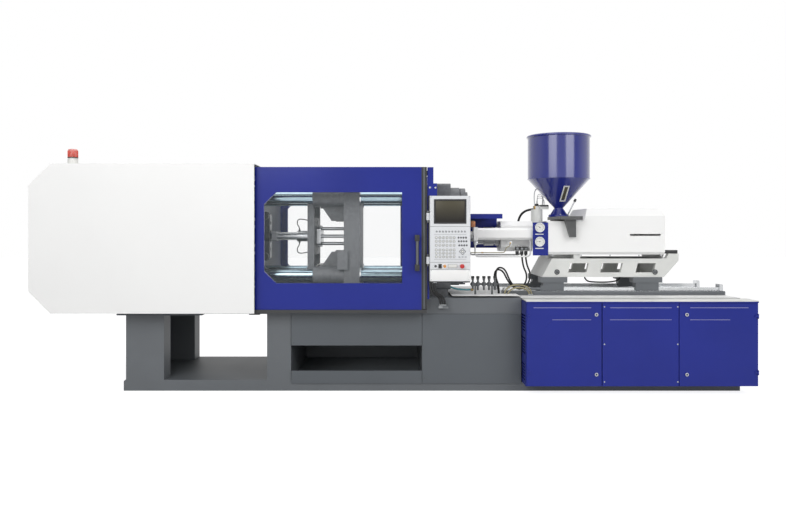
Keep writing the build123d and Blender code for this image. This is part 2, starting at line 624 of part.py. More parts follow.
# White covers on both sides of the clamp drive, with the corners cut off at the end
with BuildPart() as clamp_side_covers:
    for y in (-COVER_Y + SHEET, COVER_Y):
        with BuildSketch(Plane.XZ.offset(-y)):
            with BuildLine():
                Polyline(
                    (CLAMP_END_X + COVER_CHAMFER, COVER_Z0), (COVER_X1, COVER_Z0), (COVER_X1, COVER_Z1),
                    (CLAMP_END_X + COVER_CHAMFER, COVER_Z1), (CLAMP_END_X, COVER_Z1 - COVER_CHAMFER),
                    (CLAMP_END_X, COVER_Z0 + COVER_CHAMFER), close=True,
                )
            make_face()
        extrude(amount=SHEET)
clamp_side_covers.part.label = "clamp_side_covers"
export_step(clamp_side_covers.part, "parts/clamp_side_covers.step")

# Top and end cover: one folded sheet that follows the cut corners
with BuildPart() as clamp_end_cover:
    with BuildSketch(Plane.XZ.offset(-COVER_Y + SHEET)):
        with BuildLine() as fold:
            Polyline(
                (COVER_X1, COVER_Z1 - SHEET / 2), (CLAMP_END_X + COVER_CHAMFER, COVER_Z1 - SHEET / 2),
                (CLAMP_END_X + SHEET / 2, COVER_Z1 - COVER_CHAMFER),
                (CLAMP_END_X + SHEET / 2, COVER_Z0 + COVER_CHAMFER),
                (CLAMP_END_X + COVER_CHAMFER, COVER_Z0 + SHEET / 2), (BASE_X0, COVER_Z0 + SHEET / 2),
            )
        trace(line_width=SHEET)
    extrude(amount=2 * (COVER_Y - SHEET))
clamp_end_cover.part.label = "clamp_end_cover"
export_step(clamp_end_cover.part, "parts/clamp_end_cover.step")

# Warning light on the cover: base with a cap, and the fluted lens
BEACON_X = -2747
BEACON_Y = -660
with BuildPart() as beacon_base:
    round_z(COVER_Z1, COVER_Z1 + 50, BEACON_X, BEACON_Y, 43)
    round_z(COVER_Z1 + 50, COVER_Z1 + 60, BEACON_X, BEACON_Y, 37)
beacon_base.part.label = "beacon_base"
export_step(beacon_base.part, "parts/beacon_base.step")

with BuildPart() as beacon_lens:
    with BuildSketch(Plane.XZ.offset(-BEACON_Y)):
        with Locations((BEACON_X + 20, COVER_Z1 + 97)):
            Rectangle(40, 74)
    revolve(axis=Axis((BEACON_X, BEACON_Y, 0), (0, 0, 1)))
    fillet(beacon_lens.edges().group_by(Axis.Z)[-1], radius=10)
beacon_lens.part.label = "beacon_lens"
export_step(beacon_lens.part, "parts/beacon_lens.step")


def window_outline(rim):
    """Corners of the door window with its two cut corners, grown by a rim."""
    x0, x1, z0, z1 = WINDOW_X0 - rim, WINDOW_X1 + rim, WINDOW_Z0 - rim, WINDOW_Z1 + rim
    cut = WINDOW_CHAMFER + rim * 0.6
    return [(x0 + cut, z0), (x1, z0), (x1, z1), (x0 + cut, z1), (x0, z1 - cut), (x0, z0 + cut)]


def sliding_door(side):
    """Folded door tray with a rimmed window, on the operator side (-1) or the rear side (1)."""
    y0, y1 = sorted([side * DOOR_Y, side * (DOOR_Y - DOOR_T)])
    with BuildPart() as door:
        block(DOOR_X0, DOOR_X1, y0, y1, DOOR_Z0, DOOR_Z1)
        offset(amount=-DOOR_SHEET, openings=door.faces().sort_by(Axis.Y)[-1 if side < 0 else 0])
        plate_xz(window_outline(WINDOW_RIM), y0, y1)
        block(DOOR_X1 - WINDOW_RIM * 2, DOOR_X1, y0, y1, DOOR_Z0, DOOR_Z1)
        plate_xz(window_outline(0), y0, y1, Mode.SUBTRACT)
    return door.part


def window_pane(side):
    """Clear pane that fills the window opening in the middle of the door's thickness."""
    middle = side * (DOOR_Y - DOOR_T / 2)
    with BuildPart() as pane:
        plate_xz(window_outline(0), middle - PANE_T / 2, middle + PANE_T / 2)
    return pane.part


front_door = sliding_door(-1)
front_door.label = "front_door"
export_step(front_door, "parts/front_door.step")
rear_door = sliding_door(1)
rear_door.label = "rear_door"
export_step(rear_door, "parts/rear_door.step")
front_window = window_pane(-1)
front_window.label = "front_window"
export_step(front_window, "parts/front_window.step")
rear_window = window_pane(1)
rear_window.label = "rear_window"
export_step(rear_window, "parts/rear_window.step")

# Pull bar with its two feet, and the closing edge of the front door
with BuildPart() as front_handle:
    for z in (HANDLE_Z0, HANDLE_Z1 - 50):
        block(HANDLE_X - 18, HANDLE_X + 18, -DOOR_Y - 50, -DOOR_Y, z, z + 50)
    round_z(HANDLE_Z0, HANDLE_Z1, HANDLE_X, -DOOR_Y - 48, 14)
front_handle.part.label = "front_handle"
export_step(front_handle.part, "parts/front_handle.step")

# Closing edge profile of the front door
with BuildPart() as door_edge:
    block(DOOR_X1, DOOR_X1 + EDGE_W, -DOOR_Y, -DOOR_Y + DOOR_T, DOOR_Z0, DOOR_Z1)
    block(DOOR_X1 + 14, DOOR_X1 + EDGE_W - 14, -DOOR_Y, -DOOR_Y + 6, DOOR_Z0, DOOR_Z1, Mode.SUBTRACT)
door_edge.part.label = "door_edge"
export_step(door_edge.part, "parts/door_edge.step")

# Door rails: a lower and an upper rail on each side
RAIL_DOOR_X0 = BASE_X0
with BuildPart() as door_rails:
    for side in (-1, 1):
        y0, y1 = sorted([side * BASE_HALF_W, side * (DOOR_Y + 12)])
        block(RAIL_DOOR_X0, CONSOLE_HINGE_X - 10, y0, y1, DOOR_Z0 - 26, DOOR_Z0 - SHOE_GAP)
        y0, y1 = sorted([side * (DOOR_Y - DOOR_T - 40), side * (DOOR_Y - DOOR_T - 2)])
        block(RAIL_DOOR_X0, GUARD_X1 - SHEET, y0, y1, DOOR_Z1 - 70, DOOR_Z1 - 30)
        for x in (RAIL_DOOR_X0, COVER_X1 - 60):
            block(x, x + 50, y0, y1, DOOR_Z1 - 30, COVER_Z1 - SHEET)
door_rails.part.label = "door_rails"
export_step(door_rails.part, "parts/door_rails.step")

# Fixed guard plates between the doors and the fixed platen: folded sheets
GUARD_X0 = DOOR_X1 + EDGE_W + 5
with BuildPart() as guard_plates:
    for side in (-1, 1):
        y0, y1 = sorted([side * (DOOR_Y - 20), side * (DOOR_Y - 20 - SHEET)])
        block(GUARD_X0, GUARD_X1, y0, y1, GUARD_WIDE_Z0, DOOR_Z1)
        block(GUARD_X0, GUARD_X0 + GUARD_STRIP_W, y0, y1, DECK_Z, GUARD_WIDE_Z0)
        block(GUARD_X1, GUARD_LUG_X1, y0, y1, GUARD_WIDE_Z0, GUARD_LUG_Z1)
        y0, y1 = sorted([side * (DOOR_Y - 20), side * PLATEN_HALF_W])
        block(GUARD_X1 - SHEET, GUARD_X1, y0, y1, GUARD_WIDE_Z0, DOOR_Z1)
guard_plates.part.label = "guard_plates"
export_step(guard_plates.part, "parts/guard_plates.step")

# Control console: a swivelling box with a screen recess, a key field and a switch strip
CONSOLE_MID_X = (CONSOLE_X0 + CONSOLE_X1) / 2
with BuildPart() as control_panel:
    block(CONSOLE_X0, CONSOLE_X1, -CONSOLE_Y, -CONSOLE_Y + CONSOLE_T, CONSOLE_Z0, CONSOLE_Z1)
    fillet(control_panel.edges().filter_by(Axis.Z), radius=8)
    round_y(-CONSOLE_Y - 8, -CONSOLE_Y, SWITCHES["stop"], SWITCH_Z, 17)
    round_y(-CONSOLE_Y - 8, -CONSOLE_Y + 30, SWITCHES["stop"], SWITCH_Z, 8 + RUNNING_GAP, Mode.SUBTRACT)
    block(
        SWITCHES["rocker"] - 10, SWITCHES["rocker"] + 10, -CONSOLE_Y, -CONSOLE_Y + 10,
        SWITCH_Z - 15, SWITCH_Z + 15, Mode.SUBTRACT,
    )
    round_x(
        SWITCHES["rocker"] - 13, SWITCHES["rocker"] + 13, -CONSOLE_Y + 3, SWITCH_Z,
        2 + RUNNING_GAP, Mode.SUBTRACT,
    )
    block(
        CONSOLE_X0 + SCREEN_MARGIN, CONSOLE_X1 - SCREEN_MARGIN, -CONSOLE_Y, -CONSOLE_Y + 4,
        SCREEN_Z0, SCREEN_Z1, Mode.SUBTRACT,
    )
    for z in CONSOLE_SEAM_ZS:
        block(CONSOLE_X0, CONSOLE_X1, -CONSOLE_Y, -CONSOLE_Y + 3, z - 1, z + 1, Mode.SUBTRACT)
    for x in (CONSOLE_X0 + 25, CONSOLE_X1 - 60):
        block(x, x + 35, -CONSOLE_Y + 8, -CONSOLE_Y + CONSOLE_T - 8, CONSOLE_Z0 - 14, CONSOLE_Z0)
    for z in CONSOLE_HINGE_ZS:
        block(CONSOLE_HINGE_X + 12, CONSOLE_X0 + 4, CONSOLE_HINGE_Y - 10, CONSOLE_HINGE_Y + 10, z - 30, z + 30)
        round_z(z - 30, z + 30, CONSOLE_HINGE_X, CONSOLE_HINGE_Y, 14)
    for z in CONSOLE_HINGE_ZS:
        round_z(z - 30, z + 30, CONSOLE_HINGE_X, CONSOLE_HINGE_Y, 7 + RUNNING_GAP, Mode.SUBTRACT)
control_panel.part.label = "control_panel"
export_step(control_panel.part, "parts/control_panel.step")

# Hinge brackets of the console on the guard plate, with their pins
with BuildPart() as console_bracket:
    for z in CONSOLE_HINGE_ZS:
        round_z(z - 50, z + 50, CONSOLE_HINGE_X, CONSOLE_HINGE_Y, 7)
        for z0 in (z - 50, z + 31):
            round_z(z0, z0 + 19, CONSOLE_HINGE_X, CONSOLE_HINGE_Y, 14)
            block(
                CONSOLE_HINGE_X - 8, CONSOLE_HINGE_X + 8, CONSOLE_HINGE_Y + 8, -DOOR_Y + 20, z0, z0 + 19,
            )
console_bracket.part.label = "console_bracket"
export_step(console_bracket.part, "parts/console_bracket.step")

# Switches on the strip under the keys
with BuildPart() as e_stop:
    round_y(-CONSOLE_Y - 16, -CONSOLE_Y + 20, SWITCHES["stop"], SWITCH_Z, 8)
    round_y(-CONSOLE_Y - 32, -CONSOLE_Y - 15, SWITCHES["stop"], SWITCH_Z, 19)
    fillet(e_stop.edges().group_by(Axis.Y)[0], radius=5)
e_stop.part.label = "e_stop"
export_step(e_stop.part, "parts/e_stop.step")

with BuildPart() as selector_switch:
    round_y(-CONSOLE_Y - 10, -CONSOLE_Y, SWITCHES["selector"], SWITCH_Z, 13)
    block(
        SWITCHES["selector"] - 4, SWITCHES["selector"] + 4, -CONSOLE_Y - 22, -CONSOLE_Y - 10,
        SWITCH_Z - 12, SWITCH_Z + 12,
    )
selector_switch.part.label = "selector_switch"
export_step(selector_switch.part, "parts/selector_switch.step")

with BuildPart() as key_switch:
    round_y(-CONSOLE_Y - 8, -CONSOLE_Y, SWITCHES["key"], SWITCH_Z, 11)
    block(
        SWITCHES["key"] - 1.5, SWITCHES["key"] + 1.5, -CONSOLE_Y - 34, -CONSOLE_Y - 8,
        SWITCH_Z - 10, SWITCH_Z + 10,
    )
key_switch.part.label = "key_switch"
export_step(key_switch.part, "parts/key_switch.step")

with BuildPart() as rocker_switch:
    block(
        SWITCHES["rocker"] - 10 + SHOE_GAP, SWITCHES["rocker"] + 10 - SHOE_GAP, -CONSOLE_Y - 4, -CONSOLE_Y + 5,
        SWITCH_Z - 13, SWITCH_Z + 13,
    )
    round_x(SWITCHES["rocker"] - 12.5, SWITCHES["rocker"] + 12.5, -CONSOLE_Y + 3, SWITCH_Z, 2)
rocker_switch.part.label = "rocker_switch"
export_step(rocker_switch.part, "parts/rocker_switch.step")


# Hinge lines of the cabinet doors: each pin stands in front of the door, beside its outer edge
HINGE_Y = -CABINET_Y - SHOE_GAP - HINGE_R
HINGE_IN = DOOR_SLIT + 3
HINGE_LEFT_X = CABINET_X0 + HINGE_IN
HINGE_RIGHT_X = INJECTION_END_X - HINGE_IN


def groove(points):
    """Pressed line in the front of a cabinet panel."""
    with BuildSketch(Plane.XZ.offset(CABINET_Y)) as line:
        with BuildLine():
            Polyline(*points)
        trace(line_width=GROOVE_W)
    extrude(line.sketch, amount=-GROOVE_DEPTH, mode=Mode.SUBTRACT)


# Front cabinet: sheet body with a fixed middle panel and the body knuckles of the door hinges
with BuildPart() as cabinet_front:
    front = -CABINET_Y + CABINET_DOOR_T
    block(CABINET_X0, INJECTION_END_X, front, -BASE_HALF_W + 60, CABINET_Z0, CABINET_Z1)
    offset(amount=-SHEET, openings=cabinet_front.faces().sort_by(Axis.Y)[0])
    block(
        CABINET_DOOR_X1 + DOOR_SLIT, CABINET_PANEL_X1 - DOOR_SLIT, -CABINET_Y, front,
        CABINET_Z0 + DOOR_SLIT, CABINET_Z1 - 6,
    )
    for hinge_x, wall_x in [(HINGE_LEFT_X, CABINET_X0), (HINGE_RIGHT_X, INJECTION_END_X - SHEET)]:
        for z in HINGE_ZS:
            for z0 in (z - HINGE_H / 2, z + HINGE_MID_H / 2 + SHOE_GAP):
                height = HINGE_H / 2 - HINGE_MID_H / 2 - SHOE_GAP
                round_z(z0, z0 + height, hinge_x, HINGE_Y, HINGE_R)
                block(wall_x, wall_x + SHEET, HINGE_Y - 3, front + 1, z0, z0 + height)
    low_z, high_z = GROOVE_ZS
    for z in GROOVE_ZS:
        groove([(CABINET_DOOR_X1 + 71, z), (CABINET_PANEL_X1 - 60, z)])
    for z in VENT_ZS:
        with BuildSketch(Plane.YZ.offset(CABINET_X0)) as slots:
            with Locations(((front - BASE_HALF_W + 60) / 2, z)):
                with GridLocations(VENT_W, VENT_PITCH, 1, VENT_SLOTS):
                    Rectangle(VENT_W, VENT_SLOT_H)
        extrude(slots.sketch, amount=SHEET, mode=Mode.SUBTRACT)
cabinet_front.part.label = "cabinet_front"
export_step(cabinet_front.part, "parts/cabinet_front.step")

with BuildPart() as cabinet_rear:
    back = CABINET_REAR_Y - CABINET_DOOR_T
    block(CABINET_X0, INJECTION_END_X, BASE_HALF_W - 60, back, CABINET_Z0, CABINET_Z1)
    for x0, x1 in [
        (CABINET_X0, CABINET_DOOR_X1), (CABINET_DOOR_X1, CABINET_PANEL_X1), (CABINET_PANEL_X1, INJECTION_END_X),
    ]:
        block(x0 + DOOR_SLIT, x1 - DOOR_SLIT, back, CABINET_REAR_Y, CABINET_Z0 + DOOR_SLIT, CABINET_Z1 - 6)
cabinet_rear.part.label = "cabinet_rear"
export_step(cabinet_rear.part, "parts/cabinet_rear.step")


def cabinet_door(x0, x1, hinge_x, grooves):
    """Cabinet door, closed, with pressed lines and its two hinges' knuckles in notched corners."""
    inward = 1 if hinge_x < (x0 + x1) / 2 else -1
    with BuildPart() as door:
        block(
            x0 + DOOR_SLIT, x1 - DOOR_SLIT, -CABINET_Y, -CABINET_Y + CABINET_DOOR_T - SHOE_GAP,
            CABINET_Z0 + DOOR_SLIT, CABINET_Z1 - 6,
        )
        fillet(door.edges().filter_by(Axis.Z), radius=3)
        for z in HINGE_ZS:
            notch = sorted([hinge_x - 2 * inward * HINGE_IN, hinge_x + inward * (HINGE_R + 1)])
            half = HINGE_H / 2 + 1
            block(*notch, -CABINET_Y, -CABINET_Y + CABINET_DOOR_T, z - half, z + half, Mode.SUBTRACT)
            half = HINGE_MID_H / 2
            leaf = sorted([hinge_x, hinge_x + inward * 26])
            round_z(z - half, z + half, hinge_x, HINGE_Y, HINGE_R)
            block(*leaf, HINGE_Y - 2, -CABINET_Y, z - half, z + half)
        for points in grooves:
            groove(points)
    return door.part


left_grooves = [
    [(CABINET_X0 + 62, high_z), (CABINET_DOOR_X1 - 88, high_z)],
    [(CABINET_X0 + 169, low_z - 54), (CABINET_X0 + 223, low_z), (CABINET_DOOR_X1 - 88, low_z)],
]
right_grooves = [
    [(CABINET_PANEL_X1 + 103, high_z), (INJECTION_END_X - 76, high_z)],
    [(CABINET_PANEL_X1 + 103, low_z), (INJECTION_END_X - 234, low_z)],
]
cabinet_door_left = cabinet_door(CABINET_X0, CABINET_DOOR_X1, HINGE_LEFT_X, left_grooves)
cabinet_door_left.label = "cabinet_door_left"
export_step(cabinet_door_left, "parts/cabinet_door_left.step")
cabinet_door_right = cabinet_door(CABINET_PANEL_X1, INJECTION_END_X, HINGE_RIGHT_X, right_grooves)
cabinet_door_right.label = "cabinet_door_right"
export_step(cabinet_door_right, "parts/cabinet_door_right.step")

# Rails of the injection unit on their ledges
with BuildPart() as carriage_rails:
    for y in (-RAIL_Y, RAIL_Y):
        block(RAIL_X0, BASE_X1, y - 60, y + 60, DECK_Z, DECK_Z + LEDGE_H)
        block(RAIL_X0, RAIL_X1, y - RAIL_W / 2, y + RAIL_W / 2, DECK_Z + LEDGE_H, RAIL_TOP_Z)
        block(RAIL_X1 - 30, RAIL_X1, y - 45, y + 45, DECK_Z + LEDGE_H, RAIL_TOP_Z + 30)
carriage_rails.part.label = "carriage_rails"
export_step(carriage_rails.part, "parts/carriage_rails.step")

# Feet that ride on the rails and carry the seat frame
with BuildPart() as carriage_feet:
    for x0, x1 in [(SEAT_X0 - 19, SEAT_X0 + 228), (SEAT_X1 - 287, SEAT_X1 - 20)]:
        for y in (-RAIL_Y, RAIL_Y):
            block(x0 + 30, x1 - 30, y - 45, y + 45, DECK_Z + LEDGE_H + 6, SEAT_Z0 - 40)
            block(x0, x1, y - 55, y + 45, SEAT_Z0 - 50, SEAT_Z0)
    for y in (-RAIL_Y, RAIL_Y):
        foot_x = SEAT_X0 + 11
        block(foot_x - 22, foot_x + 4, y - 45, y - RAIL_W / 2 - 3, DECK_Z + LEDGE_H + 6, RAIL_TOP_Z + 20)
        round_x(foot_x - 126, foot_x - 22, y - 34, RAIL_TOP_Z - 12, 11)
        round_x(foot_x - 60, foot_x - 22, y - 34, RAIL_TOP_Z - 12, 16)
    for y in (-RAIL_Y, RAIL_Y):
        half = RAIL_W / 2 + RUNNING_GAP
        block(RAIL_X0, RAIL_X1, y - half, y + half, DECK_Z, RAIL_TOP_Z + RUNNING_GAP, Mode.SUBTRACT)
carriage_feet.part.label = "carriage_feet"
export_step(carriage_feet.part, "parts/carriage_feet.step")

# Seat frame: casting with windows in its sides and an arm at the rear
with BuildPart() as seat_frame:
    with BuildSketch(Plane.XZ.offset(SEAT_HALF_W)):
        with BuildLine():
            Polyline(
                (SEAT_X0, SEAT_Z0), (SEAT_X1, SEAT_Z0), (SEAT_X1 + 130, SEAT_Z1 - 20),
                (SEAT_X1 + 130, SEAT_Z1 + 45), (SEAT_X1 + 40, SEAT_Z1 + 45), (SEAT_X1 + 20, SEAT_Z1),
                (SEAT_X0 + 90, SEAT_Z1), close=True,
            )
        make_face()
    extrude(amount=-2 * SEAT_HALF_W)
    block(
        SEAT_X0 + 230, SEAT_X1 - 40, -SEAT_HALF_W + 45, SEAT_HALF_W - 45, SEAT_Z0, SEAT_Z1 - 24, Mode.SUBTRACT,
    )
    block(
        SEAT_X1 - 30, SEAT_X1 + 130, -SEAT_HALF_W + 60, SEAT_HALF_W - 60, SEAT_Z1, SEAT_Z1 + 60, Mode.SUBTRACT,
    )
    for start, width in SEAT_WINDOWS:
        x0, x1 = SEAT_X0 + start, SEAT_X0 + start + width
        with BuildSketch(Plane.XZ.offset(SEAT_HALF_W)):
            with BuildLine():
                Polyline(
                    (x0, SEAT_Z0 + 42), (x1 - 20, SEAT_Z0 + 42), (x1, SEAT_Z1 - 42),
                    (x0 + 20, SEAT_Z1 - 42), close=True,
                )
            make_face()
        extrude(amount=-2 * SEAT_HALF_W, mode=Mode.SUBTRACT)
seat_frame.part.label = "seat_frame"
export_step(seat_frame.part, "parts/seat_frame.step")

# Injection housing: feed block under the hopper, rod plate and the two injection cylinders
INJECT_CYL_X1 = HOUSING_X1 + 310
INJECT_CYL_Y = 185
with BuildPart() as injection_housing:
    block(HOUSING_X0, HOUSING_X1, -HOUSING_HALF_W, HOUSING_HALF_W, SEAT_Z1, HOUSING_TOP_Z)
    fillet(injection_housing.edges().filter_by(Axis.X), radius=15)
    block(HOUSING_X1 - 60, HOUSING_X1, -CARRIAGE_CYL_Y - 45, CARRIAGE_CYL_Y + 45, SEAT_Z1, CLAMP_Z + 90)
    for y in (-INJECT_CYL_Y, INJECT_CYL_Y):
        round_x(HOUSING_X1, INJECT_CYL_X1, y, CLAMP_Z, 68)
        round_x(HOUSING_X1 + 20, INJECT_CYL_X1, y, CLAMP_Z, 50, Mode.SUBTRACT)
    round_x(HOUSING_X0, HOUSING_X1, 0, CLAMP_Z, BARREL_R, Mode.SUBTRACT)
    round_z(CLAMP_Z, HOUSING_TOP_Z, HOPPER_X, 0, 30, Mode.SUBTRACT)
    half = VALVE_R + 6
    block(VALVE_X - half, HOUSING_X0 + 20, VALVE_Y - half, VALVE_Y + half, HOUSING_TOP_Z - 16, HOUSING_TOP_Z)
    round_z(HOUSING_TOP_Z, HOUSING_TOP_Z + 125, VALVE_X, VALVE_Y, VALVE_R)
    round_z(HOUSING_TOP_Z + 125, HOUSING_TOP_Z + 157, VALVE_X, VALVE_Y, VALVE_R - 18)
    solenoid_z = HOUSING_TOP_Z + 128
    block(VALVE_X + 20, VALVE_X + 110, VALVE_Y - 22, VALVE_Y + 22, solenoid_z, solenoid_z + 32)
injection_housing.part.label = "injection_housing"
export_step(injection_housing.part, "parts/injection_housing.step")

# Barrel with its heater bands, adapter and nozzle
with BuildPart() as barrel:
    round_x(BARREL_X0, HOUSING_X1, 0, CLAMP_Z, BARREL_R)
    for i in range(BAND_COUNT):
        x = BAND_X0 + i * BAND_PITCH
        round_x(x, x + BAND_W, 0, CLAMP_Z, BAND_R)
    round_x(BARREL_X0 - 60, BARREL_X0, 0, CLAMP_Z, 48)
    round_x(NOZZLE_TIP_X + 10, BARREL_X0 - 60, 0, CLAMP_Z, 26)
    with Locations(Location((NOZZLE_TIP_X + 5, 0, CLAMP_Z), (0, -90, 0))):
        Cone(26, 12, 10)
    round_x(BARREL_X0 + 20, HOUSING_X1, 0, CLAMP_Z, SCREW_R + RUNNING_GAP, Mode.SUBTRACT)
    round_x(NOZZLE_TIP_X, BARREL_X0 + 21, 0, CLAMP_Z, 4, Mode.SUBTRACT)
    round_z(CLAMP_Z, CLAMP_Z + BARREL_R + 1, HOPPER_X, 0, 30, Mode.SUBTRACT)
barrel.part.label = "barrel"
export_step(barrel.part, "parts/barrel.step")

# Screw: core with a helical flight drawn as turned rings, and its splined end
SCREW_X0 = BARREL_X0 + 30
SCREW_X1 = HOPPER_X + 491
FLIGHT_PITCH = 55
FLIGHT_COUNT = 13
with BuildPart() as screw:
    round_x(SCREW_X0 + 30, SCREW_X1, 0, CLAMP_Z, 18)
    with Locations(Location((SCREW_X0 + 15, 0, CLAMP_Z), (0, -90, 0))):
        Cone(24, 3, 30)
    for i in range(FLIGHT_COUNT):
        x = SCREW_X0 + 60 + i * FLIGHT_PITCH
        round_x(x, x + 7, 0, CLAMP_Z, SCREW_R)
    round_x(HOPPER_X + 60, HOUSING_X1 + 60, 0, CLAMP_Z, SCREW_R)
screw.part.label = "screw"
export_step(screw.part, "parts/screw.step")

# Screw drive: plate behind the injection cylinders with their rods, motor and pointer
DRIVE_X0 = INJECT_CYL_X1 + 30
POINTER_X = DRIVE_X0 + 112
with BuildPart() as screw_drive:
    block(DRIVE_X0, DRIVE_X0 + 45, -INJECT_CYL_Y - 70, INJECT_CYL_Y + 70, CLAMP_Z - 110, CLAMP_Z + 110)
    round_x(DRIVE_X0 + 45, DRIVE_X0 + 145, 0, CLAMP_Z, 105)
    for y in (-INJECT_CYL_Y, INJECT_CYL_Y):
        round_x(HOUSING_X1 + 30, DRIVE_X0, y, CLAMP_Z, 27)
        round_x(HOUSING_X1 + 30, HOUSING_X1 + 60, y, CLAMP_Z, 50 - RUNNING_GAP)
    round_x(DRIVE_X0, SCREW_X1, 0, CLAMP_Z, 18 + RUNNING_GAP, Mode.SUBTRACT)
    block(DRIVE_X0 + 30, POINTER_X + 12, -INJECT_CYL_Y - 76, -INJECT_CYL_Y - 66, POINTER_Z - 5, POINTER_Z + 5)
    block(POINTER_X, POINTER_X + 12, -COVER_IY - 6, -INJECT_CYL_Y - 66, POINTER_Z - 5, POINTER_Z + 5)
screw_drive.part.label = "screw_drive"
export_step(screw_drive.part, "parts/screw_drive.step")


def cut_square(plane, half, cut, y, z):
    """Square outline with cut corners, on a plane across the machine."""
    with BuildSketch(plane) as outline:
        with Locations((y, z)):
            Rectangle(2 * half, 2 * half)
        chamfer(outline.vertices(), length=cut)
    return outline.sketch


PLUG_X = HEAT_COVER_X1 - 73
PLUG_Y = -HEAT_COVER_HALF - 25

# White heat cover round the barrel: folded sheet with cut corners and an end plate at each side
with BuildPart() as barrel_cover:
    half, cut = HEAT_COVER_HALF, HEAT_COVER_CUT
    length = HEAT_COVER_X1 - HEAT_COVER_X0
    extrude(cut_square(Plane.YZ.offset(HEAT_COVER_X0), half, cut, 0, CLAMP_Z), amount=length)
    inner = cut_square(Plane.YZ.offset(HEAT_COVER_X0 + SHEET), half - SHEET, cut - 2, 0, CLAMP_Z)
    extrude(inner, amount=length - 2 * SHEET, mode=Mode.SUBTRACT)
    round_x(HEAT_COVER_X0, HEAT_COVER_X1, 0, CLAMP_Z, BAND_R + RUNNING_GAP, Mode.SUBTRACT)
    plug_z = CLAMP_Z - half + 4
    block(HEAT_COVER_X0 + 116, HEAT_COVER_X1 - 8, -half - 46, cut - half, plug_z, plug_z + 4)
    for x in (PLUG_X, PLUG_X - 34):
        round_z(plug_z - 22, plug_z, x, PLUG_Y, CABLE_R + 5)
barrel_cover.part.label = "barrel_cover"
export_step(barrel_cover.part, "parts/barrel_cover.step")

# White cover over the injection unit: folded sheet, low at the hopper and high behind it
HIGH_X0 = COVER_IX0 + 332
COVER_ITOP = COVER_IZ1 + COVER_BEND


def cover_form(inset):
    """Closed form of the cover, drawn in by a wall thickness: low front part and high rear part."""
    side = COVER_IY - inset
    floor = SEAT_Z1 - 2 * inset
    end = COVER_IX1 - inset
    low = COVER_ILOW - inset
    high = COVER_ITOP - inset
    with BuildPart() as form:
        with BuildSketch(Plane.YZ.offset(HIGH_X0 + inset)):
            with BuildLine():
                Polyline(
                    (-side, COVER_IZ0), (-side, COVER_IZ1), (COVER_BEND - side, high),
                    (side - COVER_BEND, high), (side, COVER_IZ1), (side, COVER_IZ0),
                    (COVER_IY - 57, floor), (57 - COVER_IY, floor), close=True,
                )
            make_face()
        extrude(amount=end - HIGH_X0 - inset)
        with BuildSketch(Plane.XZ.offset(COVER_IY + 1)):
            with BuildLine():
                Polyline(
                    (HIGH_X0 + inset, floor), (HIGH_X0 + inset, low), (HIGH_X0 + inset + 48, high),
                    (end - 18, high), (end, high - 55), (end, floor), close=True,
                )
            make_face()
        extrude(amount=-2 * COVER_IY - 2, mode=Mode.INTERSECT)
        with BuildSketch(Plane.YZ.offset(COVER_IX0 - inset)):
            with BuildLine():
                Polyline(
                    (-side, COVER_IZ0), (-side, low), (side, low), (side, COVER_IZ0),
                    (COVER_IY - 57, floor), (57 - COVER_IY, floor), close=True,
                )
            make_face()
        extrude(amount=HIGH_X0 + 3 * inset + 1 - COVER_IX0)
    return form.part


outer_form = cover_form(0)
inner_form = cover_form(SHEET)
with BuildPart() as injection_cover:
    add(outer_form)
    add(inner_form, mode=Mode.SUBTRACT)
    block(HOPPER_X - 62, HOPPER_X + 62, -102, 92, COVER_ILOW - 10, COVER_ILOW + 10, Mode.SUBTRACT)
    block(
        COVER_IX0 - 1, VALVE_X + VALVE_R + 8, VALVE_Y - VALVE_R - 8, VALVE_Y + VALVE_R + 8,
        COVER_ILOW - 10, COVER_ILOW + 10, Mode.SUBTRACT,
    )
    slot_x1 = POINTER_X + 12 + INJECTION_STROKE + 12
    slot_half = POINTER_SLOT_H / 2
    block(
        POINTER_X - 12, slot_x1, -COVER_IY - 1, -COVER_IY + SHEET + 1,
        POINTER_Z - slot_half, POINTER_Z + slot_half, Mode.SUBTRACT,
    )
injection_cover.part.label = "injection_cover"
export_step(injection_cover.part, "parts/injection_cover.step")

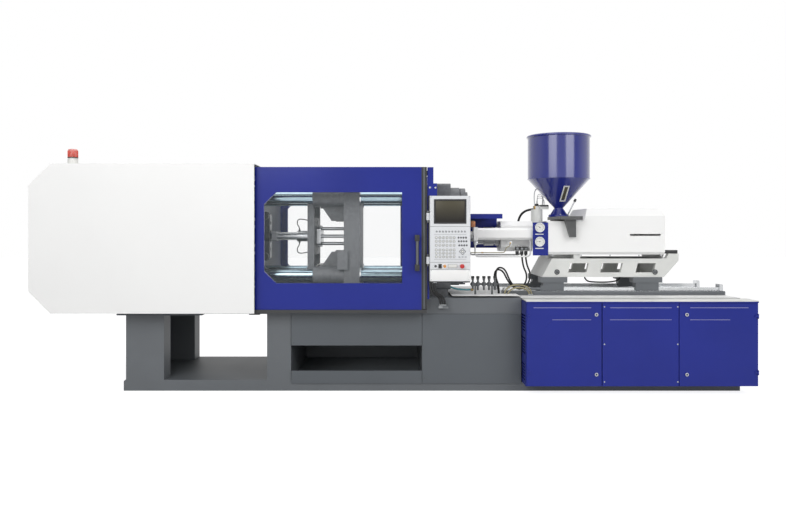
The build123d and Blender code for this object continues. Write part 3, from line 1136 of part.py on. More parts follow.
# Carriage cylinders beside the barrel, held on the fixed platen, and their rods on the housing
with BuildPart() as carriage_cylinders:
    for y in (-CARRIAGE_CYL_Y, CARRIAGE_CYL_Y):
        start = Plane.YZ.offset(CARRIAGE_CYL_X0)
        body = cut_square(start, CARRIAGE_CYL_HALF, CARRIAGE_CYL_CUT, y, CARRIAGE_CYL_Z)
        extrude(body, amount=CARRIAGE_CYL_X1 - CARRIAGE_CYL_X0)
        half = CARRIAGE_CYL_HALF + 8
        block(
            CARRIAGE_CYL_X0 - 36, CARRIAGE_CYL_X0, y - half, y + half,
            CARRIAGE_CYL_Z - half, CARRIAGE_CYL_Z + half,
        )
        round_x(FIXED_BACK_X, CARRIAGE_CYL_X0, y, CARRIAGE_CYL_Z, 24)
        round_x(FIXED_BACK_X, FIXED_BACK_X + 24, y, CARRIAGE_CYL_Z, 50)
        round_x(CARRIAGE_CYL_X0 + 30, CARRIAGE_CYL_X1 - 40, y, CARRIAGE_CYL_Z, 40, Mode.SUBTRACT)
        round_x(CARRIAGE_CYL_X1 - 41, CARRIAGE_CYL_X1, y, CARRIAGE_CYL_Z, 16 + RUNNING_GAP, Mode.SUBTRACT)
        port_x = CARRIAGE_CYL_X0 - 18
        bottom = CARRIAGE_CYL_Z - half
        round_z(bottom - 24, bottom, port_x, y, 13)
        far_x = CARRIAGE_CYL_X1 - 22
        round_z(CARRIAGE_CYL_Z - CARRIAGE_CYL_HALF - 18, CARRIAGE_CYL_Z - CARRIAGE_CYL_HALF, far_x, y, 11)
        with BuildLine() as pipe_line:
            FilletPolyline(
                (port_x, y, bottom - 20), (port_x, y, CYL_PIPE_Z), (far_x, y, CYL_PIPE_Z),
                (far_x, y, CARRIAGE_CYL_Z - CARRIAGE_CYL_HALF - 14), radius=34,
            )
        with BuildSketch(Plane(pipe_line.line @ 0, z_dir=pipe_line.line % 0)):
            Circle(CYL_PIPE_R)
        sweep(path=pipe_line.line)
carriage_cylinders.part.label = "carriage_cylinders"
export_step(carriage_cylinders.part, "parts/carriage_cylinders.step")

with BuildPart() as carriage_rods:
    for y in (-CARRIAGE_CYL_Y, CARRIAGE_CYL_Y):
        round_x(CARRIAGE_CYL_X1 - 90, HOUSING_X1 - 60, y, CARRIAGE_CYL_Z, 16)
        round_x(CARRIAGE_CYL_X1 - 90, CARRIAGE_CYL_X1 - 60, y, CARRIAGE_CYL_Z, 40 - RUNNING_GAP)
carriage_rods.part.label = "carriage_rods"
export_step(carriage_rods.part, "parts/carriage_rods.step")

# Blue sheet guard round the nozzle, open toward the operator and below
PURGE_X1 = HEAT_COVER_X0 + 8
PURGE_HALF_W = CARRIAGE_CYL_Y - CARRIAGE_CYL_HALF - 12
PURGE_TOP_Z = CLAMP_Z + 207
PURGE_LOW_Z = CLAMP_Z - 115
with BuildPart() as purge_guard:
    half = PURGE_HALF_W
    block(FIXED_BACK_X, PURGE_X1, -half, half, PURGE_TOP_Z - SHEET, PURGE_TOP_Z)
    block(FIXED_BACK_X, PURGE_X1, half - SHEET, half, PURGE_LOW_Z, PURGE_TOP_Z)
    block(FIXED_BACK_X, PURGE_X1, -half, SHEET - half, PURGE_TOP_Z - 44, PURGE_TOP_Z)
    valve_end = VALVE_X - VALVE_R - CARRIAGE_TRAVEL
    block(
        valve_end - 10, PURGE_X1, VALVE_Y - VALVE_R - 10, VALVE_Y + VALVE_R + 10,
        PURGE_TOP_Z - SHEET, PURGE_TOP_Z, Mode.SUBTRACT,
    )
purge_guard.part.label = "purge_guard"
export_step(purge_guard.part, "parts/purge_guard.step")

# Gauge panel with two pressure gauges
GAUGE_PANEL_X1 = COVER_IX0 + 14
GAUGE_X = COVER_IX0 - 65
with BuildPart() as gauge_panel:
    block(GAUGE_PANEL_X1 - 139, GAUGE_PANEL_X1, -COVER_IY - SHEET, -COVER_IY, COVER_IZ0 - 32, COVER_ILOW - 13)
    for z in GAUGE_ZS:
        round_y(-COVER_IY - 22, -COVER_IY - SHEET, GAUGE_X, z, GAUGE_R)
        round_y(-COVER_IY - 22, -COVER_IY - 19, GAUGE_X, z, GAUGE_R - 6, Mode.SUBTRACT)
gauge_panel.part.label = "gauge_panel"
export_step(gauge_panel.part, "parts/gauge_panel.step")

# Hopper: rolled rim, cylinder, cone and neck, in one sheet shell on its slide plate
with BuildPart() as hopper:
    with BuildSketch(Plane.XZ):
        with BuildLine():
            Polyline(
                (HOPPER_X + HOPPER_NECK_R, HOPPER_BASE_Z0 + HOPPER_BASE_T),
                (HOPPER_X + HOPPER_NECK_R, HOPPER_CONE_Z0),
                (HOPPER_X + HOPPER_R, HOPPER_CONE_Z1), (HOPPER_X + HOPPER_R, HOPPER_RIM_Z),
                (HOPPER_X + HOPPER_R - SHEET, HOPPER_RIM_Z), (HOPPER_X + HOPPER_R - SHEET, HOPPER_CONE_Z1 + 2),
                (HOPPER_X + HOPPER_NECK_R - SHEET, HOPPER_CONE_Z0 + 2),
                (HOPPER_X + HOPPER_NECK_R - SHEET, HOPPER_BASE_Z0 + HOPPER_BASE_T), close=True,
            )
        make_face()
        with Locations((HOPPER_X + HOPPER_R, HOPPER_RIM_Z - 12)):
            Circle(12)
    revolve(axis=Axis((HOPPER_X, 0, 0), (0, 0, 1)))
    plate_z = HOPPER_BASE_Z0 + HOPPER_BASE_T
    round_z(plate_z, plate_z + 20, HOPPER_X, 0, 95)
    for angle in (45, 135, 225, 315):
        turn = radians(angle)
        x_dir, z_dir = (cos(turn), sin(turn), 0), (sin(turn), -cos(turn), 0)
        with BuildSketch(Plane(origin=(HOPPER_X, 0, 0), x_dir=x_dir, z_dir=z_dir)) as rib:
            with BuildLine():
                Polyline(
                    (HOPPER_NECK_R - 2, plate_z + 19), (88, plate_z + 19), (88, plate_z + 28),
                    (HOPPER_NECK_R + 8, HOPPER_CONE_Z0 - 6), (HOPPER_NECK_R - 2, HOPPER_CONE_Z0 - 6),
                    close=True,
                )
            make_face()
        extrude(rib.sketch, amount=3, both=True)
    slope = atan2(HOPPER_R - HOPPER_NECK_R, HOPPER_CONE_Z1 - HOPPER_CONE_Z0)
    window_r = HOPPER_NECK_R + (SIGHT_Z - HOPPER_CONE_Z0) * tan(slope)
    turn = radians(SIGHT_ANGLE)
    across = Vector(-sin(turn), cos(turn), 0)
    outward = Vector(cos(turn) * cos(slope), sin(turn) * cos(slope), -sin(slope))
    centre = Vector(HOPPER_X + window_r * cos(turn), window_r * sin(turn), SIGHT_Z)
    with BuildSketch(Plane(origin=centre - outward * 3, x_dir=across, z_dir=outward)):
        RectangleRounded(SIGHT_W, SIGHT_L, 14)
    extrude(amount=9)
    with BuildSketch(Plane(origin=centre + outward * 2, x_dir=across, z_dir=outward)):
        RectangleRounded(SIGHT_W - 24, SIGHT_L - 30, 10)
    extrude(amount=5, mode=Mode.SUBTRACT)
    round_z(plate_z, plate_z + 20, HOPPER_X, 0, HOPPER_NECK_R - SHEET, Mode.SUBTRACT)
hopper.part.label = "hopper"
export_step(hopper.part, "parts/hopper.step")

# Slide base under the hopper, with the feed hole and the track toward the spout
OUTLET_Y = -HOPPER_TRAVEL - 45
with BuildPart() as hopper_base:
    top = HOPPER_BASE_Z0 + HOPPER_BASE_T
    block(HOPPER_X - 85, HOPPER_X + 85, OUTLET_Y - 65, 100, HOPPER_BASE_Z0, top)
    block(HOPPER_X - 45, HOPPER_X + 118, OUTLET_Y - 65, OUTLET_Y + 45, HOPPER_BASE_Z0 - 4, top)
    fillet(hopper_base.edges().filter_by(Axis.Z), radius=6)
    block(HOPPER_X - 60, HOPPER_X + 60, -100, 90, HOUSING_TOP_Z, HOPPER_BASE_Z0)
    round_z(HOUSING_TOP_Z, top, HOPPER_X, 0, 30, Mode.SUBTRACT)
    round_z(HOUSING_TOP_Z, top, HOPPER_X, OUTLET_Y, 26, Mode.SUBTRACT)
hopper_base.part.label = "hopper_base"
export_step(hopper_base.part, "parts/hopper_base.step")

# Discharge spout in front of the cover, under the outer hole of the slide base
SPOUT_TOP_Z = HOPPER_BASE_Z0 - 4
with BuildPart() as discharge_spout:
    for wall, mode in [(0, Mode.ADD), (3, Mode.SUBTRACT)]:
        with BuildSketch(Plane.XY.offset(SPOUT_TOP_Z)) as mouth:
            with Locations((HOPPER_X + 18, OUTLET_Y)):
                Rectangle(96 - 2 * wall, 60 - 2 * wall)
        with BuildSketch(Plane.XY.offset(SPOUT_Z0)) as outlet:
            with Locations((HOPPER_X + 42, OUTLET_Y)):
                Rectangle(52 - 2 * wall, 46 - 2 * wall)
        loft(sections=[mouth.sketch, outlet.sketch], mode=mode)
discharge_spout.part.label = "discharge_spout"
export_step(discharge_spout.part, "parts/discharge_spout.step")

# Water flow regulators in front of the nozzle area, on a bracket on the base
with BuildPart() as water_manifold:
    y, z = MANIFOLD_Y, MANIFOLD_Z
    round_x(MANIFOLD_XS[0] - 22, MANIFOLD_XS[-1] + 25, y, z, 11)
    for x in MANIFOLD_XS:
        round_z(z - 54, z + 40, x, y, 9)
        round_z(z - 18, z + 18, x, y, 16)
        round_z(z + 40, z + 56, x, y, 13)
        round_z(z + 56, z + 72, x, y, 7)
        round_y(y - 30, y, x, z + 30, 8)
    for x0, x1 in [MANIFOLD_XS[:2], MANIFOLD_XS[3:]]:
        x = (x0 + x1) / 2
        block(x - 8, x + 8, y - 5, y + 5, DECK_Z, z)
water_manifold.part.label = "water_manifold"
export_step(water_manifold.part, "parts/water_manifold.step")


def route_radii(points):
    """Largest sensible arc at each corner of a cable's route, from its two runs and its turn."""
    places = [Vector(*point) for point in points]
    radii = []
    for before, corner, after in zip(places, places[1:], places[2:]):
        half_turn = radians((corner - before).get_angle(after - corner) / 2)
        radii.append(0.45 * min((corner - before).length, (after - corner).length) / tan(half_turn))
    return radii


def cable(points, radius):
    """Round cable along straight runs joined by tangent arcs."""
    radii = route_radii(points)
    with BuildPart() as tube:
        with BuildLine() as route:
            FilletPolyline(*points, radius=radii)
        with BuildSketch(Plane(route.line @ 0, z_dir=route.line % 0)):
            Circle(radius)
        sweep(path=route.line)
    length = sum(edge.length for edge in route.edges())
    print("cable", round(length), "long, radii", [round(r) for r in radii])
    print("volume against section times length", round(tube.part.volume / (pi * radius**2 * length), 4))
    return tube.part


# Conduit from the foot of the console to its bracket on the base
conduit_x = CONSOLE_X0 + 42
conduit_y = -CONSOLE_Y + CONSOLE_T / 2
conduit_route = [
    (conduit_x, conduit_y, CONSOLE_Z0 - 14), (conduit_x, conduit_y, CONSOLE_Z0 - 95),
    (CONDUIT_X, CONDUIT_Y, CONDUIT_Z + 74), (CONDUIT_X, CONDUIT_Y, CONDUIT_Z),
]
console_conduit = cable(conduit_route, CONDUIT_R)
console_conduit.label = "console_conduit"
export_step(console_conduit, "parts/console_conduit.step")
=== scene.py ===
# %% [markdown]
# An injection moulding machine, dressed around its construction model.
# The construction model already holds the machine's parts at full size. This script gives each
# part its finish and adds the small pieces that a person sees on the real machine: screws,
# seams, keys, dials, hoses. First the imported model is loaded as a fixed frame.

# %% Load the frame
import math

import bmesh
import bpy
from mathutils import Matrix, Vector


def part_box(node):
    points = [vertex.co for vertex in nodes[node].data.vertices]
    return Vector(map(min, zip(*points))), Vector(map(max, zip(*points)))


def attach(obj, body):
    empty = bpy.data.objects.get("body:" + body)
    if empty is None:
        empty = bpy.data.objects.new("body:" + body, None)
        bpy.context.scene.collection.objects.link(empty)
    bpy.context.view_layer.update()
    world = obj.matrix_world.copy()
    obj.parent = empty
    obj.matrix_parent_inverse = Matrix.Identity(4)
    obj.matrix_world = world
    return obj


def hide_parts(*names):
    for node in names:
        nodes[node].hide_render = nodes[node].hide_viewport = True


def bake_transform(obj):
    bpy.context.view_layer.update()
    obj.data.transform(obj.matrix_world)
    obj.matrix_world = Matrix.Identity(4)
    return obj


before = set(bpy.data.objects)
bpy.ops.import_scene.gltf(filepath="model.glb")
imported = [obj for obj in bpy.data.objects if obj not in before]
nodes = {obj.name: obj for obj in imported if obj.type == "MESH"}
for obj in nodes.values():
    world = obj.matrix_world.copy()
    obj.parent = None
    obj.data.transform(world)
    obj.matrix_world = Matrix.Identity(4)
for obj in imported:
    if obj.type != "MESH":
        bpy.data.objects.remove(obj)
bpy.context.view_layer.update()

# %% [markdown]
# Sizes below are written in millimetres, as on a workshop drawing, and turned into metres by
# one factor. Many places are read from the frame, off the part of the machine that carries the
# piece. The three directions that screws and rings point in most often get names too.

# %% Millimetres, and the corners of a part
MM = 0.001
TO_FRONT = (0, -1, 0)
TO_REAR = (0, 1, 0)
UP = (0, 0, 1)


def low(node):
    """Lowest corner of a part of the machine, in millimetres."""
    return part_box(node)[0] / MM


def high(node):
    """Highest corner of a part of the machine, in millimetres."""
    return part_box(node)[1] / MM


print("machine length", round(high("cabinet_front").x - low("clamp_end_cover").x), "mm")

# %% [markdown]
# Every finish is a small node tree. The helper below makes the usual one: a base colour that
# varies a little from place to place, a roughness that varies with it, and a fine bump. Paint,
# cast iron and plastic differ only in their numbers, so one helper serves them all, and the
# noise is read from Object coordinates, so it stays on the part when the part moves.


# %% Colours and the common finish
def shade(red, green, blue):
    """A colour given as on a screen, 0 to 255, as the linear values that shaders use."""
    def linear(value):
        value = value / 255
        return value / 12.92 if value <= 0.04045 else ((value + 0.055) / 1.055) ** 2.4
    return (linear(red), linear(green), linear(blue), 1.0)


def new_material(name):
    """An empty material with its output and main shader."""
    material = bpy.data.materials.new(name)
    material.use_nodes = True
    tree = material.node_tree
    shader = tree.nodes["Principled BSDF"]
    return material, tree, shader


def noise(tree, scale, detail=3.0, stretch=(1, 1, 1)):
    """Noise over the part's own coordinates."""
    coordinates = tree.nodes.new("ShaderNodeTexCoord")
    mapping = tree.nodes.new("ShaderNodeMapping")
    mapping.inputs["Scale"].default_value = stretch
    texture = tree.nodes.new("ShaderNodeTexNoise")
    texture.inputs["Scale"].default_value = scale
    texture.inputs["Detail"].default_value = detail
    tree.links.new(coordinates.outputs["Object"], mapping.inputs["Vector"])
    tree.links.new(mapping.outputs["Vector"], texture.inputs["Vector"])
    return texture.outputs["Fac"]


def ramp(tree, source, first, last, start=0.35, end=0.65):
    """Blend between two colours over a source value."""
    node = tree.nodes.new("ShaderNodeValToRGB")
    node.color_ramp.elements[0].position = start
    node.color_ramp.elements[0].color = first
    node.color_ramp.elements[1].position = end
    node.color_ramp.elements[1].color = last
    tree.links.new(source, node.inputs["Fac"])
    return node.outputs["Color"]


def bump(tree, shader, source, strength, distance):
    """Fine relief from a source value."""
    node = tree.nodes.new("ShaderNodeBump")
    node.inputs["Strength"].default_value = strength
    node.inputs["Distance"].default_value = distance
    tree.links.new(source, node.inputs["Height"])
    tree.links.new(node.outputs["Normal"], shader.inputs["Normal"])


def mapped(tree, source, first, last, start=0.0, end=1.0):
    """A value carried from the range start to end over to the range first to last."""
    node = tree.nodes.new("ShaderNodeMapRange")
    node.inputs["From Min"].default_value = start
    node.inputs["From Max"].default_value = end
    node.inputs["To Min"].default_value = first
    node.inputs["To Max"].default_value = last
    tree.links.new(source, node.inputs["Value"])
    return node.outputs["Result"]


def tint(tree, shader, source, colour, spread):
    """Base colour that turns a little darker and lighter with a source value."""
    dark = tuple(c * (1 - spread) for c in colour[:3]) + (1.0,)
    light = tuple(c * (1 + spread) for c in colour[:3]) + (1.0,)
    tree.links.new(ramp(tree, source, dark, light), shader.inputs["Base Color"])


def surface(name, colour, spread, roughness, grain, relief, patch, coat=0.0):
    """A finish with patches of slightly different colour, varied gloss and a fine grain."""
    material, tree, shader = new_material(name)
    patches = noise(tree, patch)
    tint(tree, shader, patches, colour, spread)
    gloss = mapped(tree, patches, roughness * 0.85, roughness * 1.15)
    tree.links.new(gloss, shader.inputs["Roughness"])
    shader.inputs["Coat Weight"].default_value = coat
    shader.inputs["Coat Roughness"].default_value = 0.12
    bump(tree, shader, noise(tree, grain, 4.0), relief, 0.0004)
    return material


print("mid grey as a linear value", round(shade(128, 128, 128)[0], 3))

# %% [markdown]
# The machine carries a few paints. The guards, the hopper and the cabinets are deep blue under a
# thin clear top, glossiest on the hopper; the covers are a plain white powder coat; the welded
# base is a mid grey with a fine texture; the castings of the clamp have nearly the same grey on
# a coarser, cloudier skin.


# %% Paints
def guard_blue(name):
    """Deep blue paint of the guards: a thin clear coat over a base that mirrors little."""
    material = surface(name, shade(32, 44, 136), 0.05, 0.3, grain=380, relief=0.03, patch=2, coat=0.1)
    material.node_tree.nodes["Principled BSDF"].inputs["Specular IOR Level"].default_value = 0.18
    return material


blue_paint = guard_blue("blue_paint")
white_paint = surface("white_paint", shade(242, 242, 241), 0.008, 0.42, grain=500, relief=0.04, patch=1.5)
base_paint = surface("base_paint", shade(98, 102, 106), 0.05, 0.5, grain=420, relief=0.07, patch=2.5)
panel_paint = surface("panel_paint", shade(82, 87, 92), 0.05, 0.48, grain=420, relief=0.06, patch=2.0)
cast_paint = surface("cast_paint", shade(106, 108, 111), 0.14, 0.48, grain=90, relief=0.6, patch=30)
track_paint = surface("track_paint", shade(48, 49, 50), 0.1, 0.5, grain=300, relief=0.08, patch=4)
spout_paint = surface("spout_paint", shade(78, 79, 80), 0.18, 0.42, grain=200, relief=0.2, patch=8)
hopper_paint = surface(
    "hopper_paint", shade(30, 40, 128), 0.05, 0.2, grain=380, relief=0.02, patch=2, coat=0.8,
)
console_paint = surface("console_paint", shade(221, 223, 226), 0.015, 0.45, grain=700, relief=0.05, patch=3)
seat_paint = surface("seat_paint", shade(214, 215, 212), 0.05, 0.5, grain=90, relief=0.3, patch=5)
print("materials with the paints", len(bpy.data.materials))

# %% [markdown]
# Bare metal is a surface that mirrors its surroundings, so it needs little colour of its own.
# The tie bars are hard chrome, ground along their length; plain steel parts are turned or
# milled, which leaves fine lines that a stretched noise imitates.


# %% Metals
def metal(name, colour, roughness, lines=(1, 1, 1), grain=250, relief=0.06, spread=0.06):
    """Bare metal with fine machining lines along one direction."""
    material, tree, shader = new_material(name)
    shader.inputs["Metallic"].default_value = 1.0
    streaks = noise(tree, grain, 2.0, lines)
    tint(tree, shader, streaks, colour, spread)
    gloss = mapped(tree, streaks, roughness * 0.8, roughness * 1.25)
    tree.links.new(gloss, shader.inputs["Roughness"])
    bump(tree, shader, streaks, relief, 0.0003)
    return material


# The chrome's grey is its own; its blue tint is a painted reflection of blue surroundings.
chrome = metal("chrome", shade(150, 170, 180), 0.16, lines=(0.05, 1, 1), grain=200, relief=0.03, spread=0.12)
steel = metal("steel", shade(176, 178, 180), 0.3, lines=(0.1, 1, 1))
dark_steel = metal("dark_steel", shade(96, 98, 100), 0.38, grain=150, relief=0.1)
bright_steel = metal("bright_steel", shade(214, 216, 218), 0.2, lines=(1, 1, 0.1))
aluminium = metal("aluminium", shade(190, 192, 194), 0.34, lines=(1, 1, 0.08))
brass = metal("brass", shade(168, 138, 86), 0.36, grain=180)
copper = metal("copper", shade(150, 104, 76), 0.45, grain=140, relief=0.2)
print("materials with the metals", len(bpy.data.materials))

# %% [markdown]
# Plastics and rubber have faint small patches and a soft grain. Clear parts are different: the
# panes of the doors are thin and nearly colourless, and the lens of the warning light is a red
# translucent plastic. The screen is off, so it is dull dark glass, with a painted reflection that
# makes it lighter towards its top.

# %% Plastics, rubber and clear parts
black_plastic = surface("black_plastic", shade(32, 33, 35), 0.1, 0.45, grain=900, relief=0.1, patch=9)
grey_plastic = surface("grey_plastic", shade(150, 153, 155), 0.04, 0.45, grain=900, relief=0.08, patch=9)
white_plastic = surface("white_plastic", shade(222, 222, 218), 0.02, 0.4, grain=900, relief=0.05, patch=9)
key_plastic = surface("key_plastic", shade(172, 176, 180), 0.03, 0.5, grain=900, relief=0.05, patch=20)
rubber = surface("rubber", shade(24, 24, 25), 0.12, 0.6, grain=500, relief=0.15, patch=12)
red_plastic = surface(
    "red_plastic", shade(190, 24, 26), 0.04, 0.3, grain=900, relief=0.04, patch=20, coat=0.3,
)
yellow_plastic = surface("yellow_plastic", shade(226, 150, 30), 0.04, 0.32, grain=900, relief=0.04, patch=20)
teal_hose = surface("teal_hose", shade(70, 140, 150), 0.08, 0.4, grain=400, relief=0.1, patch=15)
khaki_hose = surface("khaki_hose", shade(150, 142, 112), 0.08, 0.5, grain=400, relief=0.1, patch=15)


def clear(name, colour, alpha, roughness=0.03):
    """Thin clear sheet: mostly see-through, with the gloss of its surface left on it."""
    material, tree, shader = new_material(name)
    shader.inputs["Base Color"].default_value = colour
    shader.inputs["Roughness"].default_value = roughness
    shader.inputs["Alpha"].default_value = alpha
    bump(tree, shader, noise(tree, 30, 5.0), 0.02, 0.0002)
    return material


pane = clear("pane", shade(225, 236, 240), 0.03)
lens_red = clear("lens_red", shade(236, 92, 74), 0.5, 0.12)


def xyz(tree, source="Object"):
    """X, Y and Z of a texture coordinate, as three values."""
    coordinates = tree.nodes.new("ShaderNodeTexCoord")
    split = tree.nodes.new("ShaderNodeSeparateXYZ")
    tree.links.new(coordinates.outputs[source], split.inputs["Vector"])
    return split.outputs


def screen_material(bottom, top):
    """Screen that is off: brown-black glass, with a painted reflection that makes it a little lighter towards
    its top edge.
    """
    material, tree, shader = new_material("screen_glass")
    height = mapped(tree, xyz(tree)["Z"], 0.0, 1.0, bottom * MM, top * MM)
    # Painted reflection: the glass turns lighter towards its top.
    colour = ramp(tree, height, shade(40, 38, 36), shade(84, 80, 66), 0.1, 0.9)
    tree.links.new(colour, shader.inputs["Base Color"])
    shader.inputs["Roughness"].default_value = 0.3
    shader.inputs["Specular IOR Level"].default_value = 0.2
    bump(tree, shader, noise(tree, 900), 0.01, 0.0002)
    return material


SCREEN_Z0, SCREEN_Z1 = 1455, 1648
screen_glass = screen_material(SCREEN_Z0, SCREEN_Z1)
print("clear parts", pane.name, lens_red.name, screen_glass.name)

# %% [markdown]
# The sheets of the cabinets have level fold lines that catch the light. Grooves would be the
# usual way to make them, but these sheets belong to the construction model, whose meshes stay as
# they are. So the paint draws the light on the folds as a painted highlight: a mask is 1 between
# two places along X and two heights, and it mixes a paler colour into the blue there.


# %% Painted highlights of the fold lines in the cabinet paint
def combine(tree, operation, first, second):
    """Two values put together by one operation; the second may be a plain number."""
    node = tree.nodes.new("ShaderNodeMath")
    node.operation = operation
    tree.links.new(first, node.inputs[0])
    if isinstance(second, float):
        node.inputs[1].default_value = second
    else:
        tree.links.new(second, node.inputs[1])
    return node.outputs["Value"]


def within(tree, value, ends):
    """1 where a value lies between two ends, 0 elsewhere."""
    above = combine(tree, "GREATER_THAN", value, ends[0] * MM)
    below = combine(tree, "LESS_THAN", value, ends[1] * MM)
    return combine(tree, "MULTIPLY", above, below)


# Places along X and heights, in mm, of the painted highlights where the folds catch the light.
FOLD_HIGHLIGHTS = [
    ((1181, 1664), (740, 744)), ((1823, 2340), (740, 744)), ((2497, 2985), (740, 744)),
    ((1338, 1664), (639, 643)), ((1823, 2340), (639, 643)), ((2497, 2832), (639, 643)),
]


def cabinet_paint_with_highlights():
    """Blue paint of the cabinets with painted highlights: a fine pale stroke where each fold line catches the
    light.
    """
    material = guard_blue("cabinet_paint")
    tree = material.node_tree
    base_colour = tree.nodes["Principled BSDF"].inputs["Base Color"]
    place = xyz(tree)
    highlight_mask = None
    for x_ends, z_ends in FOLD_HIGHLIGHTS:
        across, upwards = within(tree, place["X"], x_ends), within(tree, place["Z"], z_ends)
        line = combine(tree, "MULTIPLY", across, upwards)
        highlight_mask = line if highlight_mask is None else combine(tree, "MAXIMUM", highlight_mask, line)
    highlight_blend = tree.nodes.new("ShaderNodeMix")
    highlight_blend.data_type = "RGBA"
    # Painted highlight: a pale lilac where each fold catches the light.
    highlight_blend.inputs["B"].default_value = shade(168, 168, 206)
    tree.links.new(base_colour.links[0].from_socket, highlight_blend.inputs["A"])
    tree.links.new(highlight_mask, highlight_blend.inputs["Factor"])
    tree.links.new(highlight_blend.outputs["Result"], base_colour)
    return material


cabinet_paint = cabinet_paint_with_highlights()
print("materials", len(bpy.data.materials))

# %% [markdown]
# The parts of the construction model keep their shape. Each only has its plain colour changed
# for one of the finishes above, by replacing what sits in its material slots.

# %% Finish of every part of the machine
FINISH = {
    base_paint: ["clamp_base", "injection_base", "carriage_feet"],
    panel_paint: ["base_panels"],
    track_paint: ["door_rails"],
    spout_paint: ["hopper_base", "discharge_spout"],
    hopper_paint: ["hopper"],
    cast_paint: [
        "fixed_platen", "moving_platen", "tail_platen", "rear_link_upper", "rear_link_lower",
        "front_link_upper", "front_link_lower", "clamp_cylinder", "screw_drive", "tie_bar_nuts",
    ],
    white_paint: [
        "clamp_side_covers", "clamp_end_cover", "injection_cover", "barrel_cover", "carriage_cylinders",
    ],
    seat_paint: ["seat_frame", "injection_housing"],
    blue_paint: [
        "front_door", "rear_door", "guard_plates", "cabinet_rear", "purge_guard", "gauge_panel",
    ],
    cabinet_paint: ["cabinet_front", "cabinet_door_left", "cabinet_door_right"],
    chrome: ["tie_bars", "carriage_rods"],
    steel: ["ejector_plate", "barrel", "screw"],
    dark_steel: [
        "crosshead", "crosshead_link_upper", "crosshead_link_lower", "adjusting_nuts", "front_handle",
        "key_switch", "console_bracket", "water_manifold",
    ],
    aluminium: ["ejector_cylinder"],
    bright_steel: ["carriage_rails"],
    black_plastic: ["door_edge", "rocker_switch"],
    rubber: ["console_conduit"],
    white_plastic: ["beacon_base"],
    console_paint: ["control_panel"],
    red_plastic: ["e_stop"],
    yellow_plastic: ["selector_switch"],
    pane: ["front_window", "rear_window"],
    lens_red: ["beacon_lens"],
}


def finish(node, material):
    """Give a part of the machine its finish."""
    mesh = nodes[node].data
    mesh.materials.clear()
    mesh.materials.append(material)


for material, names in FINISH.items():
    for name in names:
        finish(name, material)
left_over = sorted(set(nodes) - {name for names in FINISH.values() for name in names})
print("parts without a finish", left_over)

# %% [markdown]
# The camera stands where the photographer's did: far back on the operator's side, level with
# the middle of the guards, looking straight along +Y. The picture was cropped a little low, so
# the lens is shifted down instead of tilted, which keeps the uprights upright.


# %% Camera
def add_object(name, data):
    """New object in the scene, made from its data."""
    obj = bpy.data.objects.new(name, data)
    bpy.context.scene.collection.objects.link(obj)
    return obj


CAMERA_BACK = 6985
CAMERA_HEIGHT = 1395
FOCAL_PIXELS = 737
PHOTO_WIDTH = 786
PHOTO_HEIGHT = 525
HORIZON_ROW = 230
SENSOR = 36
camera_data = bpy.data.cameras.new("camera")
camera = add_object("camera", camera_data)
camera.location = Vector((0, -CAMERA_BACK, CAMERA_HEIGHT)) * MM
camera.rotation_euler = (math.radians(90), 0, 0)
camera_data.sensor_width = SENSOR
camera_data.lens = SENSOR * FOCAL_PIXELS / PHOTO_WIDTH
camera_data.shift_y = (HORIZON_ROW - PHOTO_HEIGHT / 2) / PHOTO_WIDTH
camera_data.clip_end = 100
bpy.context.scene.camera = camera
print("lens", round(camera_data.lens, 2), "mm")

# %% [markdown]
# A studio picture of a machine has a white sweep and large soft lamps, so white covers stay
# evenly lit and chrome shows clean bands. Here four wide area lamps do it, and a pale world
# fills the rest. Past the machine the camera sees plain white; a mirror sees the white sweep
# too, but the room behind the photographer is dim, which gives chrome and gloss their depth.

# %% Floor, lamps and world
LAMP_TARGET = (0, 0, 1200)
FLOOR_GLOW = 0.85
FLOOR_HALF_METRES = 30


def lamp(name, place, size, power):
    """Wide soft lamp that faces the middle of the machine."""
    data = bpy.data.lights.new(name, "AREA")
    data.shape = "RECTANGLE"
    data.size = size[0] * MM
    data.size_y = size[1] * MM
    data.energy = power
    light = add_object(name, data)
    light.location = Vector(place) * MM
    facing = (Vector(LAMP_TARGET) - Vector(place)).to_track_quat("-Z", "Y")
    light.rotation_euler = facing.to_euler()


def seen_directly(tree):
    """1 where the camera, a mirror or clear plastic sees the surface, 0 where it only lights."""
    paths = tree.nodes.new("ShaderNodeLightPath").outputs
    either = combine(tree, "MAXIMUM", paths["Is Camera Ray"], paths["Is Glossy Ray"])
    return combine(tree, "MAXIMUM", either, paths["Is Transmission Ray"])


def floor_material():
    """Floor that reads as white, and still takes the machine's shadow."""
    material, tree, shader = new_material("studio_floor")
    shader.inputs["Base Color"].default_value = shade(190, 190, 190)
    shader.inputs["Roughness"].default_value = 0.95
    shader.inputs["Specular IOR Level"].default_value = 0.0
    shader.inputs["Emission Color"].default_value = (1, 1, 1, 1)
    glow = combine(tree, "MULTIPLY", seen_directly(tree), FLOOR_GLOW)
    tree.links.new(glow, shader.inputs["Emission Strength"])
    return material


floor_mesh = bmesh.new()
bmesh.ops.create_grid(floor_mesh, x_segments=1, y_segments=1, size=FLOOR_HALF_METRES)
floor_data = bpy.data.meshes.new("studio_floor")
floor_mesh.to_mesh(floor_data)
floor_mesh.free()
floor = add_object("studio_floor", floor_data)
floor_data.materials.append(floor_material())

